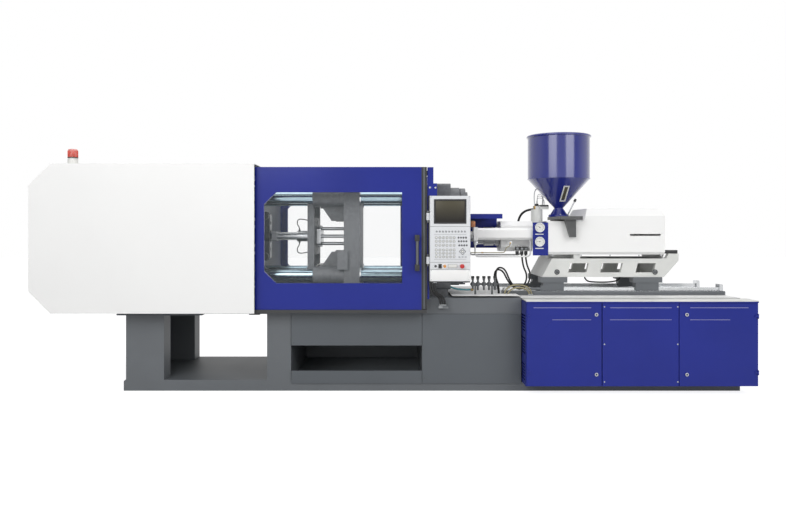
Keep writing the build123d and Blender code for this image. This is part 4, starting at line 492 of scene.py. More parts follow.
lamp("key_lamp", (-3000, -6500, 4400), (4500, 4400), 225)
lamp("fill_lamp", (4500, -5500, 3600), (3500, 3000), 132)
lamp("front_lamp", (0, -7800, 2200), (9000, 4000), 58)
lamp("top_lamp", (0, 0, 6200), (7000, 3500), 115)
world = bpy.data.worlds.new("studio")
bpy.context.scene.world = world
world.use_nodes = True
tree = world.node_tree
background = tree.nodes["Background"]
FILL = 0.36
DIM_ROOM = 0.4
ROOM_Y, SWEEP_Y = -0.7, -0.1
room = mapped(tree, xyz(tree, "Generated")["Y"], DIM_ROOM, 1.0, ROOM_Y, SWEEP_Y)
paths = tree.nodes.new("ShaderNodeLightPath").outputs
mirrored = combine(tree, "MULTIPLY", paths["Is Glossy Ray"], room)
past_machine = combine(tree, "MAXIMUM", paths["Is Camera Ray"], paths["Is Transmission Ray"])
strongest = combine(tree, "MAXIMUM", combine(tree, "MAXIMUM", mirrored, past_machine), FILL)
tree.links.new(strongest, background.inputs["Strength"])
background.inputs["Color"].default_value = (1, 1, 1, 1)
bpy.context.scene.view_settings.view_transform = "Standard"
print("lamps", len(bpy.data.lights))

# %% [markdown]
# The small pieces are modelled from a few plain solids: blocks, round bars, rings and flat
# frames. Each helper below makes one as a bmesh from sizes in millimetres. Blocks and bars can
# have their edges broken a little, because a real edge is never perfectly sharp and the small
# bevel catches the light.


# %% Solids to build with
def box_part(x0, x1, y0, y1, z0, z1, edge=1.0):
    """Block between two corners, with broken edges."""
    part = bmesh.new()
    bmesh.ops.create_cube(part, size=1)
    bmesh.ops.scale(part, vec=Vector((x1 - x0, y1 - y0, z1 - z0)) * MM, verts=part.verts)
    middle = Vector((x0 + x1, y0 + y1, z0 + z1)) / 2 * MM
    bmesh.ops.translate(part, vec=middle, verts=part.verts)
    if edge:
        bmesh.ops.bevel(
            part, geom=part.edges[:], offset=edge * MM, affect="EDGES", segments=2, profile=0.5, material=-1,
        )
    return part


def placed(part, matrix):
    """The part, moved by a matrix."""
    bmesh.ops.transform(part, matrix=matrix, verts=part.verts)
    return part


def turned(part, centre, angle):
    """The part, turned by an angle in degrees about a point, in the plane of the machine's front."""
    turn = Matrix.Rotation(math.radians(angle), 3, "Y")
    bmesh.ops.rotate(part, cent=Vector(centre) * MM, matrix=turn, verts=part.verts)
    return part


def rod_part(start, end, radius, tip=None, sides=24, edge=0.0):
    """Round bar from start to end, tapered if a tip radius is given."""
    start, end = Vector(start) * MM, Vector(end) * MM
    part = bmesh.new()
    bmesh.ops.create_cone(
        part, cap_ends=True, segments=sides, radius1=radius * MM,
        radius2=(radius if tip is None else tip) * MM, depth=(end - start).length,
    )
    if edge:
        rims = [e for e in part.edges if abs(e.verts[0].co.z - e.verts[1].co.z) < 1e-7]
        bmesh.ops.bevel(
            part, geom=rims, offset=edge * MM, affect="EDGES", segments=2, profile=0.5, material=-1,
        )
    turn = (end - start).to_track_quat("Z", "Y").to_matrix().to_4x4()
    return placed(part, Matrix.Translation((start + end) / 2) @ turn)


def ring_part(centre, axis, radius, width, height, sides=48):
    """Ring of a rectangular section, turned round an axis through its centre."""
    part = bmesh.new()
    axis = Vector(axis).normalized()
    side = axis.orthogonal().normalized()
    centre = Vector(centre) * MM
    section = [(radius, 0), (radius + width, 0), (radius + width, height), (radius, height)]
    verts = [part.verts.new(centre + side * r * MM + axis * h * MM) for r, h in section]
    edges = [part.edges.new((verts[i], verts[i - 1])) for i in range(4)]
    bmesh.ops.spin(
        part, geom=verts + edges, cent=centre, axis=axis, angle=math.tau, steps=sides, use_merge=True,
    )
    return part


def frame_part(width, length, rim, thickness):
    """Flat rectangular frame, lying in its own XY plane."""
    part = bmesh.new()
    bmesh.ops.create_grid(part, x_segments=1, y_segments=1, size=0.5)
    bmesh.ops.scale(part, vec=Vector((width, length, 1)) * MM, verts=part.verts)
    middle = part.faces[:][0]
    bmesh.ops.inset_region(part, faces=[middle], thickness=rim * MM, use_boundary=True, use_even_offset=True)
    bmesh.ops.delete(part, geom=[middle], context="FACES")
    raised = bmesh.ops.extrude_face_region(part, geom=part.faces[:])
    lifted = [item for item in raised["geom"] if isinstance(item, bmesh.types.BMVert)]
    bmesh.ops.translate(part, vec=Vector((0, 0, thickness * MM)), verts=lifted)
    return part


print("solids ready")

# %% [markdown]
# A piece is one or more of those solids joined in one mesh. It gets a finish and the body it
# moves with. Round pieces are shaded smooth, with their hard edges kept sharp by angle.

# %% Make a piece of the machine
SHARP_ANGLE = math.radians(35)
made = []


def mesh_of(name, parts):
    """One mesh out of several solids, its faces turned outwards."""
    whole = bmesh.new()
    for part in parts:
        scrap = bpy.data.meshes.new("scrap")
        part.to_mesh(scrap)
        part.free()
        whole.from_mesh(scrap)
        bpy.data.meshes.remove(scrap)
    bmesh.ops.recalc_face_normals(whole, faces=whole.faces[:])
    data = bpy.data.meshes.new(name)
    whole.to_mesh(data)
    whole.free()
    data.shade_smooth()
    data.set_sharp_from_angle(angle=SHARP_ANGLE)
    return data


def piece(name, parts, material, body):
    """Piece of the machine that moves with a body."""
    data = mesh_of(name, parts)
    data.materials.append(material)
    obj = add_object(name, data)
    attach(obj, body)
    made.append(name)


def screws(name, places, axis, radius, height, material, body, sides=6):
    """Row of screw heads, each standing on a place and pointing along an axis."""
    parts = []
    for place in places:
        tip = Vector(place) + Vector(axis) * height
        parts.append(rod_part(place, tip, radius, sides=sides, edge=height * 0.2))
    piece(name, parts, material, body)


def side_screws(name, places, radius, height, material, body):
    """Small round screw heads on the machine's front, and the same again on its rear."""
    rear_places = [(x, -y, z) for x, y, z in places]
    screws(name, places, TO_FRONT, radius, height, material, body, sides=12)
    screws(name + "_rear", rear_places, TO_REAR, radius, height, material, body, sides=12)


# %% [markdown]
# Hoses and cables are curves. A NURBS curve that follows a few control points bends evenly, as a
# hose does, and its bevel gives it a round section. It is turned into a mesh at the end. For a
# free hose the length of its line is worked out too; one that runs between two bodies is left on
# neither.

# %% Hoses and cables
LINE_STEPS = 10
ROUND_STEPS = 4


def hose(name, points, radius, material, body):
    """Round hose along a smooth line near its control points; gives the piece and its line."""
    curve = bpy.data.curves.new(name, "CURVE")
    curve.dimensions = "3D"
    spline = curve.splines.new("NURBS")
    spline.points.add(len(points) - 1)
    for target, place in zip(spline.points, points):
        target.co = (*(Vector(place) * MM), 1)
    spline.order_u = 3
    spline.use_endpoint_u = True
    curve.resolution_u = LINE_STEPS
    drawn = add_object(name + "_curve", curve)
    bpy.context.view_layer.update()
    line = bpy.data.meshes.new_from_object(drawn)
    path = [tuple(vertex.co) for vertex in line.vertices]
    bpy.data.meshes.remove(line)
    curve.bevel_depth = radius * MM
    curve.bevel_resolution = ROUND_STEPS
    curve.use_fill_caps = True
    bpy.context.view_layer.update()
    data = bpy.data.meshes.new_from_object(bpy.context.evaluated_depsgraph_get().objects[drawn.name])
    bpy.data.objects.remove(drawn)
    data.name = name
    data.materials.clear()
    data.materials.append(material)
    obj = add_object(name, data)
    if body:
        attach(obj, body)
    made.append(name)
    return obj, path


def length_of(path):
    """Length of a line through points, in metres."""
    return sum((Vector(b) - Vector(a)).length for a, b in zip(path, path[1:]))


def free_hose(name, points, radius, material, body, far_body=None):
    """Hose that is free between its ends, on one body or from one to another; length in mm."""
    obj, path = hose(name, points, radius, material, None if far_body else body)
    if far_body:
        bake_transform(obj)
    length = length_of(path)
    return obj, length / MM


print("hose tools ready")

# %% [markdown]
# The sheet panels of the base are held by a screw near each corner. The corners of the panels
# are written once, and a loop works out the screw places from them. A bracket under the cover
# and a thin plate on top of the leg complete the base.

# %% Base: panel screws, bracket and top plate of the leg
PANEL_FRONT = low("base_panels").y
PANEL_CORNERS = [(-885, 252, 395, 666), (252, 1109, 95, 666), (-885, 252, 95, 176)]
LOW_PANEL_HEIGHT = 100
corner_screws = []
for x0, x1, z0, z1 in PANEL_CORNERS:
    inset = 20 if z1 - z0 > LOW_PANEL_HEIGHT else 14
    for x in (x0 + inset, x1 - inset):
        for z in (z0 + inset, z1 - inset):
            corner_screws.append((x, PANEL_FRONT, z))
side_screws("base_panel_screws", corner_screws, 6, 3, dark_steel, "base")
bracket = [box_part(-1224, -1132, -728, -698, 674, 692, 1.5), box_part(-1204, -1152, -724, -590, 682, 690, 1)]
piece("cover_bracket", bracket, black_plastic, "base")
leg_plate = [box_part(-2395, -1654, -604, 604, 655, 668, 1)]
piece("leg_top_plate", leg_plate, panel_paint, "base")
print("base screws", 2 * len(corner_screws))

# %% [markdown]
# The fixed guard beside the door is a folded sheet with two screws near its top. A dark strip
# closes the gap where the control panel hangs on it. The door's handle has two moulded ends,
# and a grey strip runs down the middle of its closing edge.

# %% Doors: handle ends, closing edge and guard strip
DOOR_FRONT = low("front_door").y
handle_low, handle_high = low("front_handle"), high("front_handle")
handle_x = (handle_low.x + handle_high.x) / 2
HANDLE_END = 54
ends = []
for z in (handle_low.z, handle_high.z - HANDLE_END):
    ends.append(box_part(handle_x - 20, handle_x + 20, handle_low.y - 2, DOOR_FRONT, z, z + HANDLE_END, 3))
piece("handle_ends", ends, black_plastic, "front_door")
edge_low, edge_high = low("door_edge"), high("door_edge")
strip = box_part(
    edge_low.x + 15, edge_high.x - 15, edge_low.y + 1, edge_low.y + 7, edge_low.z + 4, edge_high.z - 4, 1.5,
)
piece("door_edge_strip", [strip], panel_paint, "front_door")
guard_front = low("guard_plates").y
screws("guard_screws", [(315, guard_front, 1757), (362, guard_front, 1757)], TO_FRONT, 9, 5, steel, "base")
piece("guard_strip", [box_part(300, 315, guard_front - 4, guard_front + 1, 955, 1689, 1)], rubber, "base")
print("guard front at", round(guard_front), "mm")

# %% [markdown]
# Big cover sheets are held by a few screws near their edges. The sides of the white cover stay
# plain, so its screws sit on top, out of sight. The warning light on it is a fluted lens over a
# small lamp, with a dark band where the lens meets its foot.

# %% Clamp cover and warning light
COVER_TOP = high("clamp_side_covers").z
COVER_SCREW_XS = (-2830, -2400, -1970, -1540, -1210)
cover_screws = [(x, side * 640, COVER_TOP) for x in COVER_SCREW_XS for side in (-1, 1)]
screws("cover_screws", cover_screws, UP, 7, 3, steel, "base", sides=12)
lens_low, lens_high = low("beacon_lens"), high("beacon_lens")
beacon = (lens_low + lens_high) / 2
reach = (lens_high.x - lens_low.x) / 2
FLUTES = 24
flutes = []
for k in range(FLUTES):
    angle = math.tau * k / FLUTES
    x, y = beacon.x + reach * math.cos(angle), beacon.y + reach * math.sin(angle)
    flutes.append(rod_part((x, y, lens_low.z + 6), (x, y, lens_high.z - 14), 3.2, sides=8))
piece("beacon_flutes", flutes, lens_red, "base")
lamp_foot = (beacon.x, beacon.y, lens_low.z - 4)
lamp_top = (beacon.x, beacon.y, lens_low.z + 34)
piece("beacon_lamp", [rod_part(lamp_foot, lamp_top, 16, edge=2)], white_plastic, "base")
band = ring_part((beacon.x, beacon.y, lens_low.z - 3), UP, 38, 5, 7)
piece("beacon_band", [band], black_plastic, "base")
print("beacon flutes", len(flutes))

# %% [markdown]
# The top of the base catches oil and water, so pale trays lie on it: one beside the clamp, and
# three between the rails and beside them. They are thin plates here, because only their top
# shows.

# %% Drip trays on the base
DECK_TOP = high("clamp_base").z
INJECTION_TOP = high("injection_base").z
trays = [box_part(516, 1110, -560, 560, DECK_TOP, DECK_TOP + 2, 0.5)]
for y0, y1 in ((-572, -322), (-248, 248), (322, 572)):
    trays.append(box_part(1116, 3005, y0, y1, INJECTION_TOP, INJECTION_TOP + 2, 0.5))
piece("drip_trays", trays, white_paint, "base")
print("trays", len(trays))

# %% [markdown]
# The control panel is what a person looks at first. Its front carries a screen in a dark
# bezel, a field of keys in rows, a jog key set as a diamond, and a strip of switches. Keys are
# many and equal, so loops over columns and rows place them.

# %% Control panel: screen, bezel and keys
PANEL_Y = -776
SCREEN_X0, SCREEN_X1 = 352, 611


def on_panel(part, x, z, turn=0.0):
    """The flat part, stood up against the panel's front and turned in that plane if asked."""
    place = Matrix.Translation(Vector((x, PANEL_Y, z)) * MM) @ Matrix.Rotation(math.radians(90), 4, "X")
    return placed(part, place @ Matrix.Rotation(math.radians(turn), 4, "Z"))


bezel = frame_part(SCREEN_X1 - SCREEN_X0 + 14, SCREEN_Z1 - SCREEN_Z0 + 14, 13, 4)
on_panel(bezel, (SCREEN_X0 + SCREEN_X1) / 2, (SCREEN_Z0 + SCREEN_Z1) / 2)
piece("screen_bezel", [bezel], black_plastic, "console")
glass = box_part(
    SCREEN_X0 + 3, SCREEN_X1 - 3, PANEL_Y + 1.5, PANEL_Y + 4, SCREEN_Z0 + 3, SCREEN_Z1 - 3, 0.5,
)
piece("screen", [glass], screen_glass, "console")


def key(x, z, width, height, lean=0.0):
    """One square key, leaning sideways if asked."""
    part = box_part(
        x - width / 2, x + width / 2, PANEL_Y - 3, PANEL_Y + 1, z - height / 2, z + height / 2, 1.2,
    )
    return turned(part, (x, PANEL_Y, z), lean) if lean else part


def dome(x, z, radius):
    """One round key with a broken edge."""
    return rod_part((x, PANEL_Y + 1, z), (x, PANEL_Y - 3, z), radius, sides=20, edge=1)


def key_mark(x, z, angle):
    """Plain short stroke on a round key."""
    part = box_part(x - 4.5, x + 4.5, PANEL_Y - 3.4, PANEL_Y - 2.6, z - 1.1, z + 1.1, 0)
    return turned(part, (x, PANEL_Y, z), angle)


KEY_ROWS = (1331, 1300, 1266, 1227, 1199, 1170)
KEY_COLUMNS = [365 + 30 * i for i in range(6)]
JOG_X, JOG_Z = 586, 1214
function_keys = [key(368 + 26.4 * i, 1382, 15, 15, 24) for i in range(10)]
piece("function_keys", function_keys, grey_plastic, "console")
round_keys, collars, marks = [], [], []
for row, z in enumerate(KEY_ROWS):
    for column, x in enumerate(KEY_COLUMNS):
        round_keys.append(dome(x, z, 8))
        collars.append(ring_part((x, PANEL_Y, z), TO_FRONT, 8.5, 3, 2, sides=16))
        if column > 0:
            marks.append(key_mark(x, z, 45 * ((column + row) % 4)))
piece("round_keys", round_keys, white_plastic, "console")
piece("key_collars", collars, grey_plastic, "console")
piece("key_marks", marks, dark_steel, "console")
number_keys = []
for z in KEY_ROWS[:3]:
    for i in range(4):
        number_keys.append(key(552 + 21 * i + (KEY_ROWS[0] - z) * 0.1, z, 14, 15, 24))
piece("number_keys", number_keys, dark_steel, "console")
jog = on_panel(frame_part(42, 42, 3.5, 3), JOG_X, JOG_Z, 45)
jog_ring = ring_part((JOG_X, PANEL_Y, JOG_Z), TO_FRONT, 9, 3, 2, sides=24)
piece("jog_key", [jog, jog_ring], dark_steel, "console")
piece("jog_centre", [dome(JOG_X, JOG_Z, 8.5)], white_plastic, "console")
lower_keys = [key(560 + 26 * i, 1168, 18, 11) for i in range(3)]
piece("lower_keys", lower_keys, key_plastic, "console")
lines = [box_part(346, 617, PANEL_Y - 0.6, PANEL_Y + 1, z - 1.2, z + 1.2, 0) for z in (1358, 1148)]
piece("key_field_lines", lines, grey_plastic, "console")
seams = [box_part(312, 651, PANEL_Y - 0.5, PANEL_Y + 4, z - 2, z + 2, 0) for z in (1063, 1123, 1424)]
piece("panel_seams", seams, grey_plastic, "console")
print("keys", len(function_keys) + len(round_keys) + len(number_keys) + len(lower_keys))

# %% [markdown]
# The plain rings and plates round the switches are turned parts or small mouldings. They sit
# on the front sheet of the panel, so each starts at the panel's front face and stands out from
# it by a few millimetres.

# %% Control panel: switch strip and lower cover
SWITCH_Z = 1090
rings = []
for x, radius in ((359, 11.5), (436, 13.5)):
    rings.append(ring_part((x, PANEL_Y, SWITCH_Z), TO_FRONT, radius, 4, 4))
piece("switch_rings", rings, bright_steel, "console")
rocker_frame = on_panel(frame_part(27, 38, 3.2, 3), 397, SWITCH_Z)
piece("rocker_frame", [rocker_frame], black_plastic, "console")
slot_cover = box_part(466, 538, PANEL_Y - 4, PANEL_Y + 1, 1077, 1104, 2)
piece("slot_cover", [slot_cover], white_plastic, "console")
slot_rim = on_panel(frame_part(78, 33, 2.5, 3), 502, SWITCH_Z)
piece("slot_rim", [slot_rim], grey_plastic, "console")
piece("panel_skirt", [box_part(314, 650, PANEL_Y - 1.5, PANEL_Y + 2, 966, 1057, 1)], white_paint, "console")
knob_line = box_part(434.8, 437.2, PANEL_Y - 22.6, PANEL_Y - 21.4, SWITCH_Z - 1, SWITCH_Z + 11, 0)
piece("selector_line", [knob_line], white_plastic, "selector")
panel_screws = [(x, PANEL_Y, z) for x in (322, 641) for z in (975, 1052, 1674)]
screws("panel_screws", panel_screws, TO_FRONT, 4, 2, steel, "console", sides=12)
foot = box_part(313, 650, PANEL_Y + 5, PANEL_Y + 66, 952, 962.6, 2)
piece("panel_foot", [foot], black_plastic, "console")
print("panel front at", round(low("control_panel").y), "mm")

# %% [markdown]
# Dark conduits go from the panel's foot down to a block on the base. The construction model
# has the first as a plain tube; here a smooth rubber one with screwed ends takes its place, and
# two more lie beside it. Each runs from the panel to the base and is left on neither body.

# %% Conduit under the control panel
conduit_points = [(352, -741, 949), (352, -741, 868), (448, -655, 815), (448, -655, 741)]
for name, aside in (("conduit", 0), ("conduit_second", -20), ("conduit_third", -40)):
    points = [(x + aside, y, z) for x, y, z in conduit_points]
    conduit, length = free_hose(name, points, 8, rubber, "console", "base")
    if name == "conduit":
        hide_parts("console_conduit")
gland = [rod_part((x, -655, 741), (x, -655, 757), 11, sides=6, edge=1) for x in (408, 428, 448)]
gland.append(box_part(390, 474, -668, -602, 722, 741, 3))
piece("conduit_gland", gland, grey_plastic, "base")
sockets = [rod_part((x, -741, 938), (x, -741, 954), 10, sides=24, edge=1) for x in (312, 332, 352)]
piece("conduit_sockets", sockets, black_plastic, "console")
print("conduits", round(length), "mm long")

# %% [markdown]
# Between the clamp and the injection unit sit the two cylinders that draw the unit forward. The
# front one has a copper terminal block, two ports and a thin oil pipe; the cooling water comes
# through a row of small valves with black knobs, fed by a teal hose.

# %% Carriage cylinder fittings and cooling water
CYLINDER_Y = -250
block_parts = [box_part(709, 750, CYLINDER_Y - 20, CYLINDER_Y + 20, 1421, 1475, 2)]
piece("terminal_block", block_parts, copper, "base")
socket = [
    box_part(706, 742, CYLINDER_Y - 17, CYLINDER_Y + 17, 1474, 1486, 2),
    rod_part((690, CYLINDER_Y, 1450), (711, CYLINDER_Y, 1450), 9, edge=1),
]
piece("terminal_socket", socket, black_plastic, "base")
cylinder_front = low("carriage_cylinders").y
ports = [
    rod_part((750, cylinder_front + 4, 1277), (750, cylinder_front - 5, 1277), 21, sides=6, edge=1),
    rod_part((750, cylinder_front - 4, 1277), (750, cylinder_front - 9, 1277), 13, edge=1),
    rod_part((1060, cylinder_front + 4, 1277), (1060, cylinder_front - 5, 1277), 21, sides=6, edge=1),
]
piece("cylinder_ports", ports, steel, "base")
PIPE_Y = -317
oil_pipe_points = [
    (560, PIPE_Y, 1190), (600, PIPE_Y, 1190), (960, PIPE_Y, 1190), (1012, PIPE_Y, 1190), (1022, PIPE_Y, 1236),
    (1060, PIPE_Y, 1250), (1060, PIPE_Y, 1276),
]
hose("oil_pipe", oil_pipe_points, 4, khaki_hose, "base")
pipe_nuts = [rod_part((x, PIPE_Y, 1190), (x + 16, PIPE_Y, 1190), 6.5, sides=6, edge=1) for x in (548, 800)]
pipe_nuts.append(rod_part((1060, PIPE_Y - 6, 1277), (1060, PIPE_Y + 5, 1277), 8, sides=6, edge=1))
piece("oil_pipe_nuts", pipe_nuts, brass, "base")
knobs, caps = [], []
for x in (712, 758, 812, 858, 910):
    knobs.append(ring_part((x, -400, 966), UP, 7, 8, 17, sides=12))
    caps.append(rod_part((x, -400, 982), (x, -400, 983.8), 11, tip=8, sides=12))
piece("valve_knobs", knobs + caps, black_plastic, "base")
teal_points = [
    (446, -400, 913), (470, -400, 905), (560, -405, 868), (640, -402, 862), (690, -400, 862),
    (706, -400, 862),
]
teal, length = free_hose("cooling_hose", teal_points, 8, teal_hose, "base")
clips = [
    rod_part((440, -400, 914.5), (462, -400, 908), 11, sides=16, edge=1),
    rod_part((694, -400, 862), (716, -400, 862), 11, sides=16, edge=1),
]
piece("cooling_hose_ends", clips, brass, "base")
print(teal.name, round(length), "mm long")

# %% [markdown]
# Two cables hang in a deep loop from the plugs on the heat cover down to the base. Each runs
# from the injection unit to the base and is left on neither body.

# %% Plugs and hanging cables
PLUG_XS = (1148, 1190, 1228)
plug_parts = []
for x in PLUG_XS:
    plug_parts.append(box_part(x - 16, x + 16, -185, -147, 1205, 1240, 3))
    plug_parts.append(box_part(x - 14, x + 14, -183, -149, 1166, 1201, 3))
piece("heater_plugs", plug_parts, black_plastic, "carriage")
catches = [box_part(x - 13, x + 13, -188, -184, 1212, 1232, 1) for x in PLUG_XS]
piece("plug_catches", catches, grey_plastic, "carriage")
front_points = [
    (1226, -165, 1179), (1230, -168, 1085), (1272, -200, 985), (1225, -260, 880), (1125, -325, 852),
    (1055, -335, 930), (1010, -332, 1050), (940, -328, 1060), (925, -322, 975), (957, -322, 895),
    (957, -322, 819),
]
back_points = [
    (1192, -165, 1179), (1195, -168, 1075), (1240, -195, 975), (1200, -245, 880), (1105, -300, 862),
    (1040, -312, 930), (995, -306, 1030), (930, -302, 1040), (915, -298, 960), (957, -298, 885),
    (957, -298, 819),
]
for name, points in (("heater_cable_front", front_points), ("heater_cable_back", back_points)):
    cable, length = free_hose(name, points, 8, rubber, "carriage", "base")
    print(cable.name, round(length), "mm long")

# %% [markdown]
# Two short stiff oil hoses arch over the base in front of the rails. Both ends of each are
# screwed into the base, so the hose simply rides on it, and a hexagon nut closes each end.

# %% Oil hoses on the base
loops = [
    [
        (1003, -348, 806), (1003, -348, 850), (1065, -352, 900), (1160, -354, 902), (1240, -352, 870),
        (1250, -350, 806),
    ],
    [
        (1030, -366, 806), (1030, -366, 838), (1085, -368, 876), (1160, -370, 880), (1222, -368, 850),
        (1226, -366, 806),
    ],
]
grommets = []
for number, points in enumerate(loops, 1):
    loop, length = free_hose(f"oil_loop_{number}", points, 7, khaki_hose, "base")
    print(loop.name, round(length), "mm long")
    for end in (points[0], points[-1]):
        grommets.append(rod_part(end, (end[0], end[1], end[2] + 14), 12, sides=6, edge=1))
piece("oil_loop_nuts", grommets, steel, "base")

# %% [markdown]
# A dial is a shallow dish with a white face, dark ticks and a needle. The ticks are thin
# blocks turned round the dial's centre by a loop, with a longer one at every fifth place.


# %% Pressure dials
def tick(x, z, radius, length, width, angle, y):
    """Tick mark of a dial, at an angle from straight up."""
    part = box_part(x - width / 2, x + width / 2, y - 0.4, y + 0.4, z + radius - length, z + radius, 0)
    return turned(part, (x, y, z), angle)


DIAL_X = 1322
DIAL_Y = low("gauge_panel").y
TICKS = 41
for number, dial_z in enumerate((1290, 1418), 1):
    face = rod_part((DIAL_X, DIAL_Y + 3.4, dial_z), (DIAL_X, DIAL_Y + 1.6, dial_z), 37.6, sides=48)
    piece(f"dial_face_{number}", [face], white_plastic, "carriage")
    ticks = []
    for k in range(TICKS):
        length, width = (7, 1.4) if k % 5 == 0 else (4, 0.8)
        ticks.append(tick(DIAL_X, dial_z, 34, length, width, -135 + 6.75 * k, DIAL_Y + 1.4))
    needle = tick(DIAL_X, dial_z, 27, 36, 1.8, -118 + 30 * number, DIAL_Y + 0.8)
    hub = rod_part((DIAL_X, DIAL_Y + 1.6, dial_z), (DIAL_X, DIAL_Y + 0.2, dial_z), 4.5, sides=24)
    piece(f"dial_marks_{number}", ticks + [needle, hub], black_plastic, "carriage")
    rim = ring_part((DIAL_X, DIAL_Y + 1.5, dial_z), TO_FRONT, 37.6, 6.2, 5)
    piece(f"dial_rim_{number}", [rim], bright_steel, "carriage")
strips = [box_part(1284, 1358, DIAL_Y + 16.5, DIAL_Y + 19, z, z + 8, 0.5) for z in (1225, 1353)]
piece("dial_strips", strips, white_plastic, "carriage")
print("dials at", DIAL_X)

# %% [markdown]
# The seat of the injection unit is a heavy casting with large bolts in its sides, each in a
# turned ring. The cover above it has screws along its lower edge, and a black hose hangs below
# the seat, between the feet.

# %% Injection unit: bolts, bar and cover screws
SEAT_FRONT = low("seat_frame").y
for name, side in (("", 1), ("_rear", -1)):
    bolt_places = [(1487, side * SEAT_FRONT, 1014), (2376, side * SEAT_FRONT, 1014)]
    screws("seat_bolts" + name, bolt_places, (0, -side, 0), 13, 10, dark_steel, "carriage")
    bolt_rings = [ring_part(place, (0, -side, 0), 15, 9, 6, sides=32) for place in bolt_places]
    piece("seat_bolt_rings" + name, bolt_rings, dark_steel, "carriage")
seat_points = [
    (2140, -60, 970), (2130, -60, 925), (2040, -60, 905), (1900, -60, 905), (1805, -60, 915),
    (1795, -60, 970),
]
free_hose("seat_hose", seat_points, 7, rubber, "carriage")
piece("seat_stop_bar", [box_part(2467, 2583, -296, -262, 1181, 1213, 2)], black_plastic, "carriage")
cover_front = low("injection_cover").y
cover_holes = [(x, cover_front, 1166) for x in (1440, 1700, 1960, 2220, 2420)]
side_screws("injection_cover_screws", cover_holes, 7, 3, steel, "carriage")
print("injection unit screws", len(cover_holes) * 2)

# %% [markdown]
# The hopper is a spun and welded sheet bowl. A thin ring marks the seam where bowl and cone
# meet, a dark strip in a pale frame shows how full it is, and four bolts hold its slide
# plate. The lever beside it lets the hopper slide over the drain spout.

# %% Hopper: seam, sight glass, bolts and lever
HOPPER_X = 1569
HOPPER_SEAM_Z, HOPPER_SEAM_R = 1876, 288
seam = ring_part((HOPPER_X, 0, HOPPER_SEAM_Z - 3), UP, HOPPER_SEAM_R - 1, 3.5, 6, sides=96)
piece("hopper_seam", [seam], hopper_paint, "hopper")
NECK_R, CONE_Z0, SIGHT_Z = 42, 1603, 1735
slope = math.atan2(HOPPER_SEAM_R - NECK_R, HOPPER_SEAM_Z - CONE_Z0)
sight_r = NECK_R + (SIGHT_Z - CONE_Z0) * math.tan(slope)
SIGHT_TURN = -83.5
turn = math.radians(SIGHT_TURN)
across = Vector((-math.sin(turn), math.cos(turn), 0))
outward = Vector((math.cos(turn) * math.cos(slope), math.sin(turn) * math.cos(slope), -math.sin(slope)))
along = outward.cross(across)
sight_centre = Vector((HOPPER_X + sight_r * math.cos(turn), sight_r * math.sin(turn), SIGHT_Z))
sight_place = Matrix((across, along, outward)).transposed().to_4x4()
sight_place.translation = sight_centre * MM
sight_frame = frame_part(56, 186, 12, 2)
bmesh.ops.translate(sight_frame, vec=Vector((0, 0, 5.9)) * MM, verts=sight_frame.verts)
piece("sight_frame", [placed(sight_frame, sight_place)], white_plastic, "hopper")
sight_pane = box_part(-15, 15, -76, 76, 2.2, 4.5, 0.5)
piece("sight_pane", [placed(sight_pane, sight_place)], screen_glass, "hopper")
sight_screws = []
for x in (-21.5, 21.5):
    for y in (-86, -30, 30, 86):
        head = rod_part((x, y, 7), (x, y, 9.5), 3, sides=12, edge=0.5)
        sight_screws.append(placed(head, sight_place))
piece("sight_screws", sight_screws, steel, "hopper")
plate_bolts = []
for k in range(4):
    angle = math.radians(90 * k)
    plate_bolts.append((HOPPER_X + 80 * math.cos(angle), 80 * math.sin(angle), 1538))
screws("hopper_bolts", plate_bolts, UP, 8, 7, steel, "hopper")
lever = [rod_part((1640, -60, 1534), (1706, -72, 1668), 6, edge=0.5)]
piece("hopper_lever", lever, steel, "hopper")
lever_knob = rod_part((1702, -71, 1660), (1714, -74, 1686), 13, tip=10, edge=4)
piece("lever_knob", [lever_knob], black_plastic, "hopper")
print("sight glass leans", round(math.degrees(slope)), "degrees")

# %% [markdown]
# The valves on the injection housing are fed by a braided hose and a black conduit. The hose
# keeps both ends on the injection unit and rides on it. The conduit comes up from the rear
# cylinder on the base and is left on neither body. Three thin wires arch over the valves.

# %% Injection unit: valve hoses
braid_points = [
    (1352, 40, 1600), (1344, 38, 1690), (1348, 44, 1770), (1400, 72, 1812), (1446, 98, 1765),
    (1440, 116, 1640), (1420, 130, 1478),
]
braided, braided_length = free_hose("braided_hose", braid_points, 4.6, steel, "carriage")
braid_nuts = [
    rod_part((1352, 40, 1592), (1351, 40, 1624), 13, sides=6, edge=1),
    rod_part((1420, 130, 1474), (1421, 127, 1500), 13, sides=6, edge=1),
]
piece("braided_hose_nuts", braid_nuts, brass, "carriage")
duct_points = [(1340, 60, 1592), (1225, 250, 1592), (1225, 250, 1423)]
free_hose("wire_conduit", duct_points, 11, rubber, "carriage", "base")
duct_foot = rod_part((1225, 250, 1418), (1225, 250, 1436), 15, sides=6, edge=1)
piece("wire_conduit_foot", [duct_foot], grey_plastic, "base")
for number, lift in enumerate((0, 20, 38)):
    y = 62 + 14 * number
    wire_points = [
        (1374 + 6 * number, y, 1640), (1370 + 6 * number, y, 1690 + lift), (1410, y + 6, 1705 + lift),
        (1452 - 6 * number, y, 1680 + lift), (1450 - 8 * number, y, 1630),
    ]
    free_hose(f"valve_wire_{number + 1}", wire_points, 2, grey_plastic, "carriage")
coil_caps = [
    box_part(1398, 1480, 24, 96, 1621, 1634, 3),
    rod_part((1374, 60, 1618), (1374, 60, 1646), 20, tip=16, edge=3),
]
piece("valve_caps", coil_caps, black_plastic, "carriage")
print(braided.name, round(braided_length), "mm long")

# %% [markdown]
# The cabinets stand along both sides of the injection base. Quarter-turn latches hold the front
# doors, and a pale plate closes each cabinet on top, over its folded blue edge. A grey strip
# runs along the foot of each rail.

